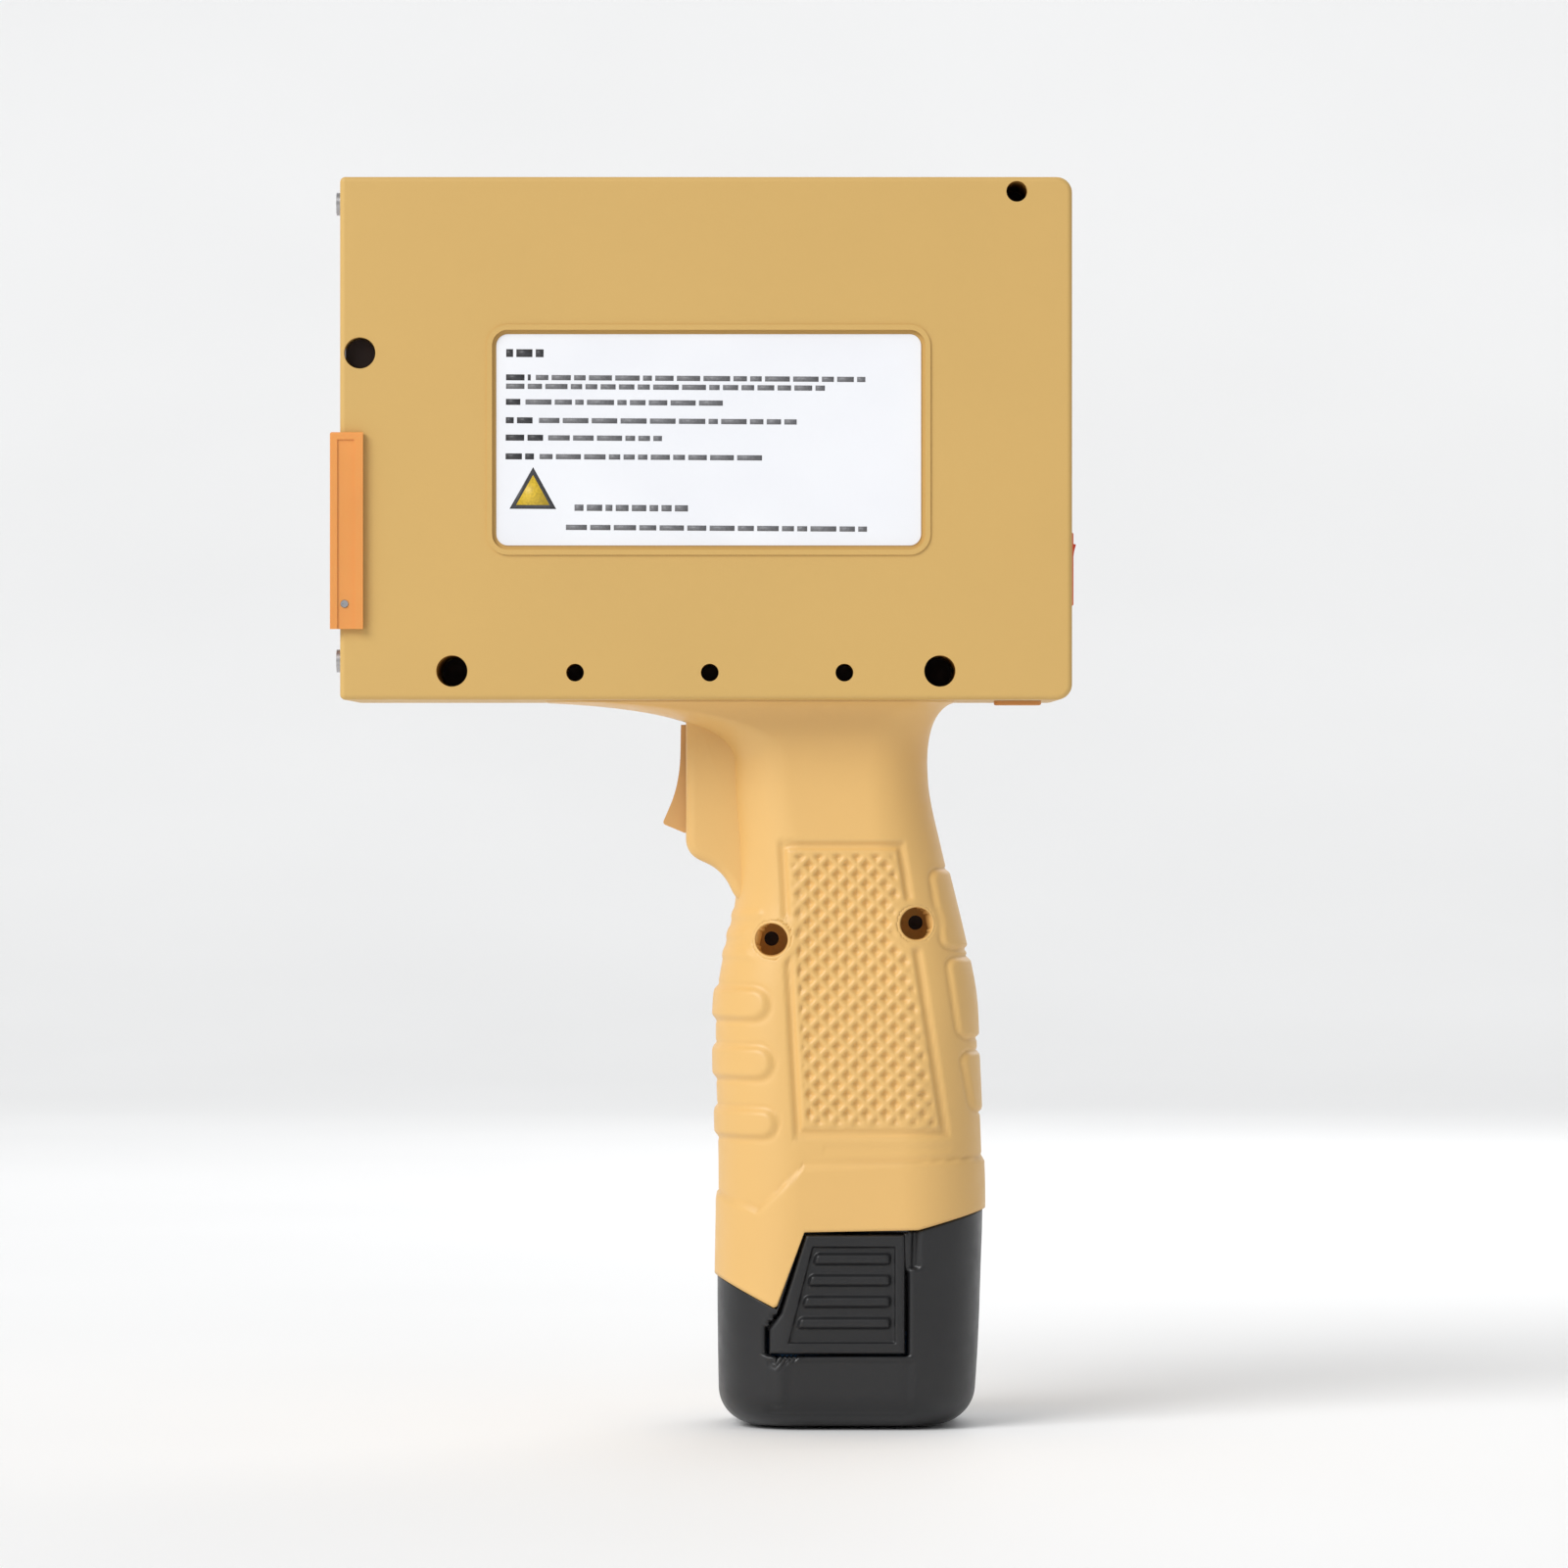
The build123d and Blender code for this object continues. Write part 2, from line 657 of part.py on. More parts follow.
# Printing face: steel plate, its screws, and the bail that shuts over the cartridge
with BuildPart() as front_plate:
    with BuildSketch(facing_front(house_front_x)):
        with Locations((0, house_mid_z)):
            RectangleRounded(2 * plate_half_y - 0.2, plate_z1 - plate_z0 - 0.2, 0.8)
        with Locations((cart_mid_y, (cart_z0 + cart_z1) / 2)):
            RectangleRounded(cart_width + 2 * cart_gap, cart_height + 2 * cart_gap, 1.0, mode=Mode.SUBTRACT)
        with Locations((wheel_mid_y, wheel_mid_z)):
            RectangleRounded(2 * wheel_slot_half_y, 2 * wheel_slot_half_z, 1.0, mode=Mode.SUBTRACT)
        for z in plate_screw_z:
            for y in (-plate_screw_y, plate_screw_y):
                with Locations((y, z)):
                    Circle(1.2, mode=Mode.SUBTRACT)
    extrude(amount=plate_thickness)

front_plate.part.label = "front_plate"
export_step(front_plate.part, "parts/front_plate.step")

with BuildPart() as plate_screws:
    for z in plate_screw_z:
        for y in (-plate_screw_y, plate_screw_y):
            with BuildSketch(facing_front(house_front_x)):
                with Locations((y, z)):
                    Circle(pan_head_radius)
            extrude(amount=-pan_head_height / 2)
            with BuildSketch(facing_front(house_front_x)):
                with Locations((y, z)):
                    Circle(1.0)
            extrude(amount=8.0)

plate_screws.part.label = "plate_screws"
export_step(plate_screws.part, "parts/plate_screws.step")

door_front_x = house_front_x - door_front_gap - door_web
door_web_z0 = door_pin_z + 1.7

with BuildPart() as cartridge_door:
    box_between(door_front_x, door_front_x + door_web, -door_outer_y, door_outer_y, door_web_z0, door_z1)
    for side in (-1, 1):
        leg_y = sorted((side * door_outer_y, side * (door_outer_y - door_leg)))
        box_between(door_front_x, door_front_x + door_leg_depth, leg_y[0], leg_y[1], door_z0, door_z1)
    fillet(edges().filter_by(Axis.Z).sort_by(Axis.X)[:2], 0.6)
    fillet(faces().sort_by(Axis.Z)[-1].edges().filter_by(Axis.X), 0.4)
    # shallow channel down each leg
    for side in (-1, 1):
        channel_y = sorted((side * door_outer_y, side * (door_outer_y - 0.3)))
        box_between(door_front_x + 1.4, door_front_x + 4.6, channel_y[0], channel_y[1], door_z0 + 0.0,
                    door_z1 - 1.4, mode=Mode.SUBTRACT)
    with BuildSketch(facing_front(door_front_x)):
        with Locations((cart_mid_y, snout_mid_z)):
            RectangleRounded(window_width, window_height - 2.0, 2.0)
        with Locations((wheel_mid_y, wheel_mid_z)):
            RectangleRounded(2 * wheel_slot_half_y, 2 * wheel_slot_half_z, 1.0)
    extrude(amount=door_web, mode=Mode.SUBTRACT)
    with BuildSketch(across(door_outer_y)):
        with Locations((door_pin_x, door_pin_z)):
            Circle(door_pin_radius + run_gap)
    extrude(amount=2 * door_outer_y, mode=Mode.SUBTRACT)

cartridge_door.part.label = "cartridge_door"
export_step(cartridge_door.part, "parts/cartridge_door.step")

with BuildPart() as door_pins:
    for side in (-1, 1):
        pin_y = sorted((side * (half - door_pin_depth + 0.1), side * (door_outer_y - 0.1)))
        with BuildSketch(across(pin_y[1])):
            with Locations((door_pin_x, door_pin_z)):
                Circle(door_pin_radius)
        extrude(amount=pin_y[1] - pin_y[0])

door_pins.part.label = "door_pins"
export_step(door_pins.part, "parts/door_pins.step")

# Encoder wheel beside the nozzles, turning about a vertical axle
ear_gap = 0.8
ear_thickness = 2.2
ear_z = (wheel_mid_z - wheel_width / 2 - ear_gap, wheel_mid_z + wheel_width / 2 + ear_gap)
bracket_back_x = wheel_x + wheel_radius + 3.0
bracket_half_y = 4.6
tyre_thickness = 1.6
magnet_radius = 1.5

with BuildPart() as encoder_hub:
    with BuildSketch(Plane.XY.offset(wheel_mid_z - wheel_width / 2)):
        with Locations((wheel_x, wheel_mid_y)):
            Circle(wheel_radius - tyre_thickness)
            Circle(axle_radius, mode=Mode.SUBTRACT)
    extrude(amount=wheel_width)

encoder_hub.part.label = "encoder_hub"
export_step(encoder_hub.part, "parts/encoder_hub.step")

with BuildPart() as encoder_tyre:
    with BuildSketch(Plane.XY.offset(wheel_mid_z - wheel_width / 2 + 0.3)):
        with Locations((wheel_x, wheel_mid_y)):
            Circle(wheel_radius)
            Circle(wheel_radius - tyre_thickness, mode=Mode.SUBTRACT)
    extrude(amount=wheel_width - 0.6)
    fillet(edges().filter_by(GeomType.CIRCLE).group_by(SortBy.RADIUS)[-1], 0.5)

encoder_tyre.part.label = "encoder_tyre"
export_step(encoder_tyre.part, "parts/encoder_tyre.step")

with BuildPart() as encoder_axle:
    with BuildSketch(Plane.XY.offset(ear_z[0] - ear_thickness)):
        with Locations((wheel_x, wheel_mid_y)):
            Circle(axle_radius)
    extrude(amount=ear_z[1] - ear_z[0] + 2 * ear_thickness + 0.6)

encoder_axle.part.label = "encoder_axle"
export_step(encoder_axle.part, "parts/encoder_axle.step")

magnet_z = ear_z[1] + ear_thickness + 0.6

with BuildPart() as encoder_magnet:
    with BuildSketch(Plane.XY.offset(magnet_z)):
        with Locations((wheel_x, wheel_mid_y)):
            Circle(magnet_radius)
    extrude(amount=2.0)

encoder_magnet.part.label = "encoder_magnet"
export_step(encoder_magnet.part, "parts/encoder_magnet.step")

with BuildPart() as encoder_bracket:
    box_between(bracket_back_x - 1.8, bracket_back_x, wheel_mid_y - bracket_half_y, inner_half,
                ear_z[0] - ear_thickness, magnet_z + 3.0)
    for ear_low in (ear_z[0] - ear_thickness, ear_z[1]):
        box_between(wheel_x - 1.7, bracket_back_x, wheel_mid_y - bracket_half_y,
                    wheel_mid_y + bracket_half_y, ear_low, ear_low + ear_thickness)
    with BuildSketch(Plane.XY.offset(ear_z[0] - ear_thickness)):
        with Locations((wheel_x, wheel_mid_y)):
            Circle(axle_radius + run_gap)
    extrude(amount=magnet_z - ear_z[0] + 6, mode=Mode.SUBTRACT)

encoder_bracket.part.label = "encoder_bracket"
export_step(encoder_bracket.part, "parts/encoder_bracket.step")

with BuildPart() as encoder_sensor:
    box_between(wheel_x - 1.7, bracket_back_x, wheel_mid_y - bracket_half_y, wheel_mid_y + bracket_half_y,
                magnet_z + 3.0, magnet_z + 4.2)
    box_between(wheel_x - 1.6, wheel_x + 2.4, wheel_mid_y - 2.0, wheel_mid_y + 2.0, magnet_z + 2.4,
                magnet_z + 3.0)

encoder_sensor.part.label = "encoder_sensor"
export_step(encoder_sensor.part, "parts/encoder_sensor.step")

# Back edge: rocker switch, charge light, charging socket with its dust plug
rocker_pivot_x = house_back_x - 3.6
rocker_tilt = 8.0
rocker_half_z = 5.6
rocker_half_y = 3.6
bezel_thickness = 0.7

with BuildPart() as switch_body:
    box_between(house_back_x - 12.0, house_back_x, switch_y - switch_body_width / 2,
                switch_y + switch_body_width / 2, switch_z - switch_body_height / 2,
                switch_z + switch_body_height / 2)
    box_between(house_back_x, house_back_x + bezel_thickness, switch_y - switch_width / 2,
                switch_y + switch_width / 2, switch_z - switch_height / 2, switch_z + switch_height / 2)
    fillet(faces().sort_by(Axis.X)[-1].edges(), 0.35)
    with BuildSketch(across(switch_y + rocker_half_y + 0.15)):
        with Locations((rocker_pivot_x, switch_z)):
            Circle(rocker_half_z + 0.35)
        with Locations((rocker_pivot_x + 10.0, switch_z)):
            Rectangle(20.0, 2 * rocker_half_z + 0.7)
    extrude(amount=2 * rocker_half_y + 0.3, mode=Mode.SUBTRACT)
    for z in (switch_z - 4.0, switch_z + 4.0):
        box_between(house_back_x - 18.0, house_back_x - 12.0, switch_y - 2.0, switch_y + 2.0, z - 0.4, z + 0.4)

switch_body.part.label = "switch_body"
export_step(switch_body.part, "parts/switch_body.step")

# The rocker is drawn level about its pivot and is then turned to its off position
with BuildPart() as rocker_button:
    with BuildSketch(across(rocker_half_y)):
        Circle(rocker_half_z)
        with Locations((rocker_half_z / 2, 0)):
            Rectangle(rocker_half_z, 2 * rocker_half_z - 0.3)
        with Locations((4.2, 0)):
            Rectangle(8.0, 2 * rocker_half_z + 2, mode=Mode.INTERSECT)
        with Locations((rocker_half_z + 0.35, 0)):
            Rectangle(4.0, 2 * rocker_half_z + 2, mode=Mode.SUBTRACT)
    extrude(amount=2 * rocker_half_y)
    with BuildSketch(across(rocker_half_y)):
        with BuildLine():
            Polyline((3.3, -rocker_half_z + 0.2), (4.1, -rocker_half_z + 0.2), (3.5, 0),
                     (4.1, rocker_half_z - 0.2), (3.3, rocker_half_z - 0.2), close=True)
        make_face()
    extrude(amount=2 * rocker_half_y)

rocker = Pos(rocker_pivot_x, switch_y, switch_z) * Rot(0, rocker_tilt, 0) * rocker_button.part
rocker.label = "rocker"
export_step(rocker, "parts/rocker.step")

with BuildPart() as charge_light:
    with BuildSketch(facing_front(house_back_x + 0.3)):
        with Locations((charge_led_y, charge_led_z)):
            Circle(charge_led_radius)
    extrude(amount=-house_wall - 1.5)
    fillet(faces().sort_by(Axis.X)[-1].edges(), 0.3)
    with BuildSketch(facing_front(house_back_x - house_wall - 1.2)):
        with Locations((charge_led_y, charge_led_z)):
            Circle(charge_led_radius + 0.8)
    extrude(amount=-1.5)

charge_light.part.label = "charge_light"
export_step(charge_light.part, "parts/charge_light.step")

socket_top = house_base_z + house_wall + 11.0
socket_half = 4.6
socket_bore = 2.8
socket_pin_radius = 1.0

with BuildPart() as charging_socket:
    box_between(plug_x - socket_half, plug_x + socket_half, plug_y - socket_half, plug_y + socket_half,
                house_base_z + house_wall, socket_top)
    with BuildSketch(Plane.XY.offset(house_base_z + house_wall)):
        with Locations((plug_x, plug_y)):
            Circle(socket_bore)
            Circle(socket_pin_radius, mode=Mode.SUBTRACT)
    extrude(amount=9.0, mode=Mode.SUBTRACT)

charging_socket.part.label = "charging_socket"
export_step(charging_socket.part, "parts/charging_socket.step")

plug_pad = 9.0
plug_pad_thickness = 0.8
plug_length = 8.0

with BuildPart() as dust_plug:
    with BuildSketch(Plane.XY.offset(house_base_z - 0.05)):
        with Locations((plug_x, plug_y)):
            RectangleRounded(plug_pad, plug_pad, 2.0)
    extrude(amount=-plug_pad_thickness)
    fillet(faces().sort_by(Axis.Z)[0].edges(), 0.3)
    with BuildSketch(Plane.XY.offset(house_base_z - 0.1)):
        with Locations((plug_x, plug_y)):
            Circle(plug_radius)
    extrude(amount=plug_length)
    with BuildSketch(Plane.XY.offset(house_base_z + 1.0)):
        with Locations((plug_x, plug_y)):
            Circle(socket_pin_radius + 0.3)
    extrude(amount=plug_length, mode=Mode.SUBTRACT)

dust_plug.part.label = "dust_plug"
export_step(dust_plug.part, "parts/dust_plug.step")

# Grip and battery share one outer form, described by rounded sections:
# height, front X, back X, half width and corner radius. The neck's heights hang from the housing.
foot_sections = [
    (0.0, 2.8, 51.8, 22.4, 15.0),
    (14.0, 2.5, 52.8, 23.0, 15.5),
    (29.0, 2.4, 53.4, 23.2, 16.0),
    (44.0, 2.6, 53.8, 23.2, 16.0),
    (57.0, 2.5, 53.4, 22.8, 15.5),
    (71.0, 2.1, 52.8, 22.0, 15.0),
]
neck_sections = [
    (56.0, 2.4, 52.1, 20.9, 14.5),
    (47.0, 4.0, 50.3, 20.0, 14.0),
    (39.0, 5.8, 48.4, 19.3, 13.5),
    (28.0, 5.6, 45.7, 18.5, 13.0),
    (17.0, 4.9, 43.4, 18.0, 12.0),
    (8.0, 4.8, 43.0, 18.0, 11.5),
]
flare_sections = [
    (8.0, 4.8, 43.0, 18.0, 11.5),
    (4.0, 2.0, 44.8, 18.8, 11.5),
    (0.0, -6.0, 48.4, 21.0, 11.5),
]
grip_wall = 2.4
foot_round = 7.0

form_sections = foot_sections + [(house_base_z - drop, *rest) for drop, *rest in neck_sections]
top_sections = [(house_base_z - drop, *rest) for drop, *rest in flare_sections]


def section_sketch(section, inset):
    """Rounded section of the grip at its height, drawn in by the inset."""
    z, front, back, half_width, corner = section
    with BuildSketch(Plane.XY.offset(z)) as profile:
        with Locations(((front + back) / 2, 0)):
            RectangleRounded(back - front - 2 * inset, 2 * (half_width - inset), corner - inset)
    return profile.sketch


def grip_form(inset=0.0, mode=Mode.ADD):
    """Outer form from the battery's base to the neck, drawn in by the inset."""
    loft([section_sketch(section, inset) for section in form_sections], mode=mode)


# Joint between grip and battery: it dips at the front, steps up over the latch and rises at the back
step_front = (13.8, 23.2)
step_top = (19.2, 37.9)
step_back = (41.0, 38.3)
split_gap = 0.35


def below_joint(drop=0.0, mode=Mode.ADD):
    """Everything under the joint line between grip and battery, lowered by drop."""
    with BuildSketch(across(house_thickness)) as profile:
        with BuildLine():
            front = Spline((-4.0, 36.0 - drop), (2.4, 29.2 - drop), (step_front[0], step_front[1] - drop),
                           tangents=((0.5, -0.9), (1.0, -0.12)))
            Line(front @ 1, (step_top[0], step_top[1] - drop))
            Line((step_top[0], step_top[1] - drop), (step_back[0], step_back[1] - drop))
            back = Spline((step_back[0], step_back[1] - drop), (53.8, 41.9 - drop), (62.0, 47.0 - drop),
                          tangents=((1.0, 0.08), (0.8, 0.6)))
            Polyline(back @ 1, (62.0, -20.0), (-4.0, -20.0), front @ 0)
        make_face()
    extrude(profile.sketch, amount=2 * house_thickness, mode=mode)


trigger_half = 6.0
slot_half = trigger_half + 0.4
block_half = 11.0
block_front_x = -3.7
block_round = 1.6
trigger_pivot_x = 0.3
trigger_pivot_z = house_base_z - 7.6
trigger_pin_radius = 1.25
slot_floor_z = house_base_z - 27.0
slot_top_z = house_base_z - 4.1
slot_back_x = 8.8

grip_wells = [(12.9, house_base_z - 46.1, 3.1), (40.8, house_base_z - 43.0, 3.1)]
flange_half = 20.0

# bosses of the grip screws, kept inside the outer form
with BuildPart() as grip_bosses:
    with BuildSketch(across(house_thickness)):
        discs(grip_wells, boss_wall)
    extrude(amount=2 * house_thickness)
    grip_form(mode=Mode.INTERSECT)

with BuildPart() as grip_body:
    grip_form()
    loft([section_sketch(section, 0.0) for section in top_sections])
    # flange under the housing
    with BuildSketch(across(flange_half)):
        with BuildLine():
            Polyline((-31.0, house_base_z), (-29.5, house_base_z - 0.5), (-4.6, house_base_z - 3.8),
                     (40.0, house_base_z - 3.8), (44.0, house_base_z), close=True)
        make_face()
    extrude(amount=2 * flange_half)
    # block that the trigger pulls into
    with BuildSketch(across(block_half)):
        with BuildLine():
            Polyline((block_front_x, house_base_z - 2.0), (block_front_x, house_base_z - 29.6),
                     (3.4, house_base_z - 32.9), (6.5, house_base_z - 39.0), (14.0, house_base_z - 40.0),
                     (14.0, house_base_z - 2.0), close=True)
        make_face()
        fillet(vertices().sort_by(Axis.Y)[2:4], 3.0)
    extrude(amount=2 * block_half)
    # hollow for the battery's stem, the contacts and the switch
    grip_form(grip_wall, Mode.SUBTRACT)
    box_between(14.0, tongue_x1 - 3.0, -tongue_half + 3.0, tongue_half - 3.0, house_base_z - 12.0,
                house_base_z, mode=Mode.SUBTRACT)
    # tongue that the flange screws hold inside the housing
    box_between(tongue_x0, tongue_x1, -tongue_half, tongue_half, house_base_z, tongue_top_z)
    box_between(tongue_x0 + 3.0, tongue_x1 - 3.0, -tongue_half + 3.0, tongue_half - 3.0,
                house_base_z, tongue_top_z, mode=Mode.SUBTRACT)
    for x, z, radius in flange_wells:
        box_between(x - 3.0, x + 3.0, -tongue_half + 2.0, -tongue_half + 8.2, z - 3.0, z + 3.0)
    add(grip_bosses.part)
    # slot, pivot and switch opening of the trigger
    box_between(block_front_x - 1, slot_back_x, -slot_half, slot_half, slot_floor_z, slot_top_z,
                mode=Mode.SUBTRACT)
    with BuildSketch(across(9.5)):
        with Locations((trigger_pivot_x, trigger_pivot_z)):
            Circle(trigger_pin_radius + press_gap)
    extrude(amount=19.0, mode=Mode.SUBTRACT)
    # wells of the grip screws and of the flange screws' pilots
    with BuildSketch(across(-4.0)):
        discs(grip_wells)
    extrude(amount=house_thickness, mode=Mode.SUBTRACT)
    with BuildSketch(across(0)):
        for x, z, radius in grip_wells:
            with Locations((x, z)):
                Circle(1.6)
    extrude(amount=6.0, mode=Mode.SUBTRACT)
    with BuildSketch(across(14.0)):
        for x, z, radius in grip_wells:
            with Locations((x, z)):
                Circle(pilot_radius + press_gap)
    extrude(amount=14.0, mode=Mode.SUBTRACT)
    with BuildSketch(across(-5.0)):
        for x, z, radius in flange_wells:
            with Locations((x, z)):
                Circle(0.9 + press_gap)
    extrude(amount=10.0, mode=Mode.SUBTRACT)
    below_joint(mode=Mode.SUBTRACT)

with BuildPart() as grip_label_side:
    add(grip_body.part)
    split(bisect_by=Plane.XZ, keep=Keep.TOP)

grip_label_side.part.label = "grip_label_side"
export_step(grip_label_side.part, "parts/grip_label_side.step")

with BuildPart() as grip_screen_side:
    add(grip_body.part)
    split(bisect_by=Plane.XZ, keep=Keep.BOTTOM)

grip_screen_side.part.label = "grip_screen_side"
export_step(grip_screen_side.part, "parts/grip_screen_side.step")

with BuildPart() as grip_screws:
    for x, z, radius in grip_wells:
        y_screw(x, z, -4.0, radius - 0.3, 2.0, pilot_radius, 16.0)

grip_screws.part.label = "grip_screws"
export_step(grip_screws.part, "parts/grip_screws.step")

# Trigger, which turns about a pin near its top and pushes the switch's plunger
trigger_tip = (-8.3, house_base_z - 23.8)
trigger_top = (-4.7, house_base_z - 4.6)
trigger_back_x = 2.5
trigger_floor = house_base_z - 25.6
plunger_z = house_base_z - 19.5
plunger_front_x = 7.9
plunger_half = 1.9
switch_x0 = 11.0
switch_x1 = 17.5
spring_z = house_base_z - 12.5
spring_radius = 2.0
spring_wire = 0.25

with BuildPart() as trigger:
    with BuildSketch(across(trigger_half)):
        with BuildLine():
            Spline(trigger_top, (-4.9, house_base_z - 12.0), (-6.3, house_base_z - 19.0), trigger_tip,
                   tangents=((-0.05, -1.0), (-0.4, -1.0)))
            Polyline(trigger_tip, (-4.0, trigger_floor), (trigger_back_x, trigger_floor + 0.5),
                     (trigger_back_x, house_base_z - 5.5), (0.5, house_base_z - 4.6), trigger_top)
        make_face()
    extrude(amount=2 * trigger_half)
    fillet(edges().group_by(Axis.X)[0], 0.6)
    box_between(trigger_back_x, plunger_front_x - fit_gap, -1.8, 1.8, plunger_z - 1.2, plunger_z + 1.2)
    with BuildSketch(across(trigger_half)):
        with Locations((trigger_pivot_x, trigger_pivot_z)):
            Circle(trigger_pin_radius + run_gap)
    extrude(amount=2 * trigger_half, mode=Mode.SUBTRACT)

trigger.part.label = "trigger"
export_step(trigger.part, "parts/trigger.step")

with BuildPart() as trigger_pin:
    with BuildSketch(across(9.5)):
        with Locations((trigger_pivot_x, trigger_pivot_z)):
            Circle(trigger_pin_radius)
    extrude(amount=19.0)

trigger_pin.part.label = "trigger_pin"
export_step(trigger_pin.part, "parts/trigger_pin.step")

with BuildPart() as trigger_switch:
    box_between(switch_x0, switch_x1, -3.2, 3.2, plunger_z - 6.0, spring_z + 3.0)
    box_between(switch_x0, switch_x1 - 1.2, -plunger_half - 0.15, plunger_half + 0.15,
                plunger_z - plunger_half - 0.15, plunger_z + plunger_half + 0.15, mode=Mode.SUBTRACT)
    for z in (plunger_z - 4.0, plunger_z, plunger_z + 4.0):
        box_between(switch_x1, switch_x1 + 3.5, -0.3, 0.3, z - 1.0, z + 1.0)

trigger_switch.part.label = "trigger_switch"
export_step(trigger_switch.part, "parts/trigger_switch.step")

with BuildPart() as switch_plunger:
    box_between(plunger_front_x, switch_x0 + 2.0, -plunger_half, plunger_half,
                plunger_z - plunger_half, plunger_z + plunger_half)
    fillet(faces().sort_by(Axis.X)[0].edges(), 0.5)

switch_plunger.part.label = "switch_plunger"
export_step(switch_plunger.part, "parts/switch_plunger.step")

trigger_spring_length = switch_x0 - trigger_back_x - 0.2

with BuildPart() as trigger_spring:
    with BuildLine():
        coil = Helix(pitch=trigger_spring_length / 6.5, height=trigger_spring_length - 2 * spring_wire,
                     radius=spring_radius, center=(trigger_back_x + 0.1 + spring_wire, 0, spring_z),
                     direction=(1, 0, 0))
    with BuildSketch(Plane(origin=coil @ 0, z_dir=coil % 0)):
        Circle(spring_wire)
    sweep()

trigger_spring.part.label = "trigger_spring"
export_step(trigger_spring.part, "parts/trigger_spring.step")

# Contacts in the grip that meet the battery's terminals
stem_mid_x = 27.7
cell_radius = 9.1
cell_length = 65.0
cell_z = 3.2
tab_thickness = 0.25
cell_sites = [(stem_mid_x - 9.25, -8.0), (stem_mid_x + 9.25, -8.0), (stem_mid_x, 8.1)]
stem_half_x = 19.9
stem_half_y = 18.7
stem_corner = 10.0
stem_wall = 1.2
stem_top_z = 71.6
deck_z = (18.6, 20.8)
terminal_sites = (-9.0, 0.0, 9.0)
terminal_thickness = 0.4
contact_deck_z = 78.0

with BuildPart() as battery_contact_block:
    box_between(stem_mid_x - 15.0, stem_mid_x + 15.0, -10.0, 10.0, contact_deck_z, contact_deck_z + 6.0)
    fillet(edges().filter_by(Axis.Z), 2.0)
    with BuildSketch(Plane.XY.offset(contact_deck_z)):
        for x in terminal_sites:
            with Locations((stem_mid_x + x, 0)):
                Circle(1.3)
    extrude(amount=6.0, mode=Mode.SUBTRACT)

battery_contact_block.part.label = "battery_contact_block"
export_step(battery_contact_block.part, "parts/battery_contact_block.step")

with BuildPart() as battery_contacts:
    with BuildSketch(Plane.XY.offset(stem_top_z + terminal_thickness + 0.1)):
        for x in terminal_sites:
            with Locations((stem_mid_x + x, 0)):
                Circle(1.2)
    extrude(amount=contact_deck_z + 7.0 - stem_top_z - terminal_thickness - 0.1)
    chamfer(faces().sort_by(Axis.Z)[:3].edges(), 0.4)

battery_contacts.part.label = "battery_contacts"
export_step(battery_contacts.part, "parts/battery_contacts.step")

# Battery leads run from the contacts up through the neck to the power board
lead_radius = 0.9
lead_x = stem_mid_x - 5.5
lead_start_z = contact_deck_z + 7.0

with BuildPart() as battery_leads:
    for lead_y, terminal in ((-2.5, terminal_sites[0]), (2.5, terminal_sites[2])):
        with BuildLine():
            route = FilletPolyline((stem_mid_x + terminal, 0, lead_start_z),
                                   (stem_mid_x + terminal, 0, lead_start_z + 5.0),
                                   (lead_x, lead_y, house_base_z - 42.0),
                                   (lead_x, lead_y, power_board_z[0] + 6.0), radius=(5.0, 12.0))
        with BuildSketch(Plane(origin=route @ 0, z_dir=route % 0)):
            Circle(lead_radius)
        sweep(path=route)

battery_leads.part.label = "battery_leads"
export_step(battery_leads.part, "parts/battery_leads.step")

# Battery pack
latch_travel = 1.5
latch_plate = 1.8
latch_rim = 1.2
latch_groove = 0.7
latch_base_z = 14.4
latch_front_x = 12.4
latch_back_x = 38.6
latch_window_gap = 0.3
rib_top_z = 34.0
rib_pitch = 4.1
rib_height = 2.6
rib_count = 4
rib_gap = 0.6
latch_arm_half = 3.5
latch_arm_top = step_top[1] + 6.0


def latch_outline(extra=0.0):
    """Latch button seen from the side: a trapezoid with a lug at its front foot."""
    top_z = step_top[1] - split_gap - 0.1
    with BuildLine() as outline:
        Polyline((latch_front_x - extra, latch_base_z - extra), (latch_back_x + extra, latch_base_z - extra),
                 (latch_back_x + extra, top_z + 3 * extra), (step_top[0] + 0.2 - extra, top_z + 3 * extra),
                 (14.6 - extra, step_front[1] - 1.0), (latch_front_x - extra, step_front[1] - 4.0), close=True)
    make_face(outline.edges())


def latch_pocket(inset=0.0):
    """Sunk field of the latch button, whose front edge leans with the button's."""
    with BuildLine() as outline:
        Polyline((16.2 + inset, 16.6), (36.6 - inset, 16.6), (36.6 - inset, 35.0), (20.8 + inset, 35.0),
                 close=True)
    make_face(outline.edges())


with BuildPart() as foot_form:
    grip_form()
    box_between(-20.0, 80.0, -40.0, 40.0, 60.0, house_base_z, mode=Mode.SUBTRACT)
    fillet(faces().sort_by(Axis.Z)[0].edges(), foot_round)

with BuildPart() as foot_hollow:
    grip_form(grip_wall)
    box_between(-20.0, 80.0, -40.0, 40.0, 60.0, house_base_z, mode=Mode.SUBTRACT)
    box_between(-20.0, 80.0, -40.0, 40.0, -1.0, cell_z - 0.4, mode=Mode.SUBTRACT)
    fillet(faces().sort_by(Axis.Z)[0].edges(), foot_round - grip_wall)

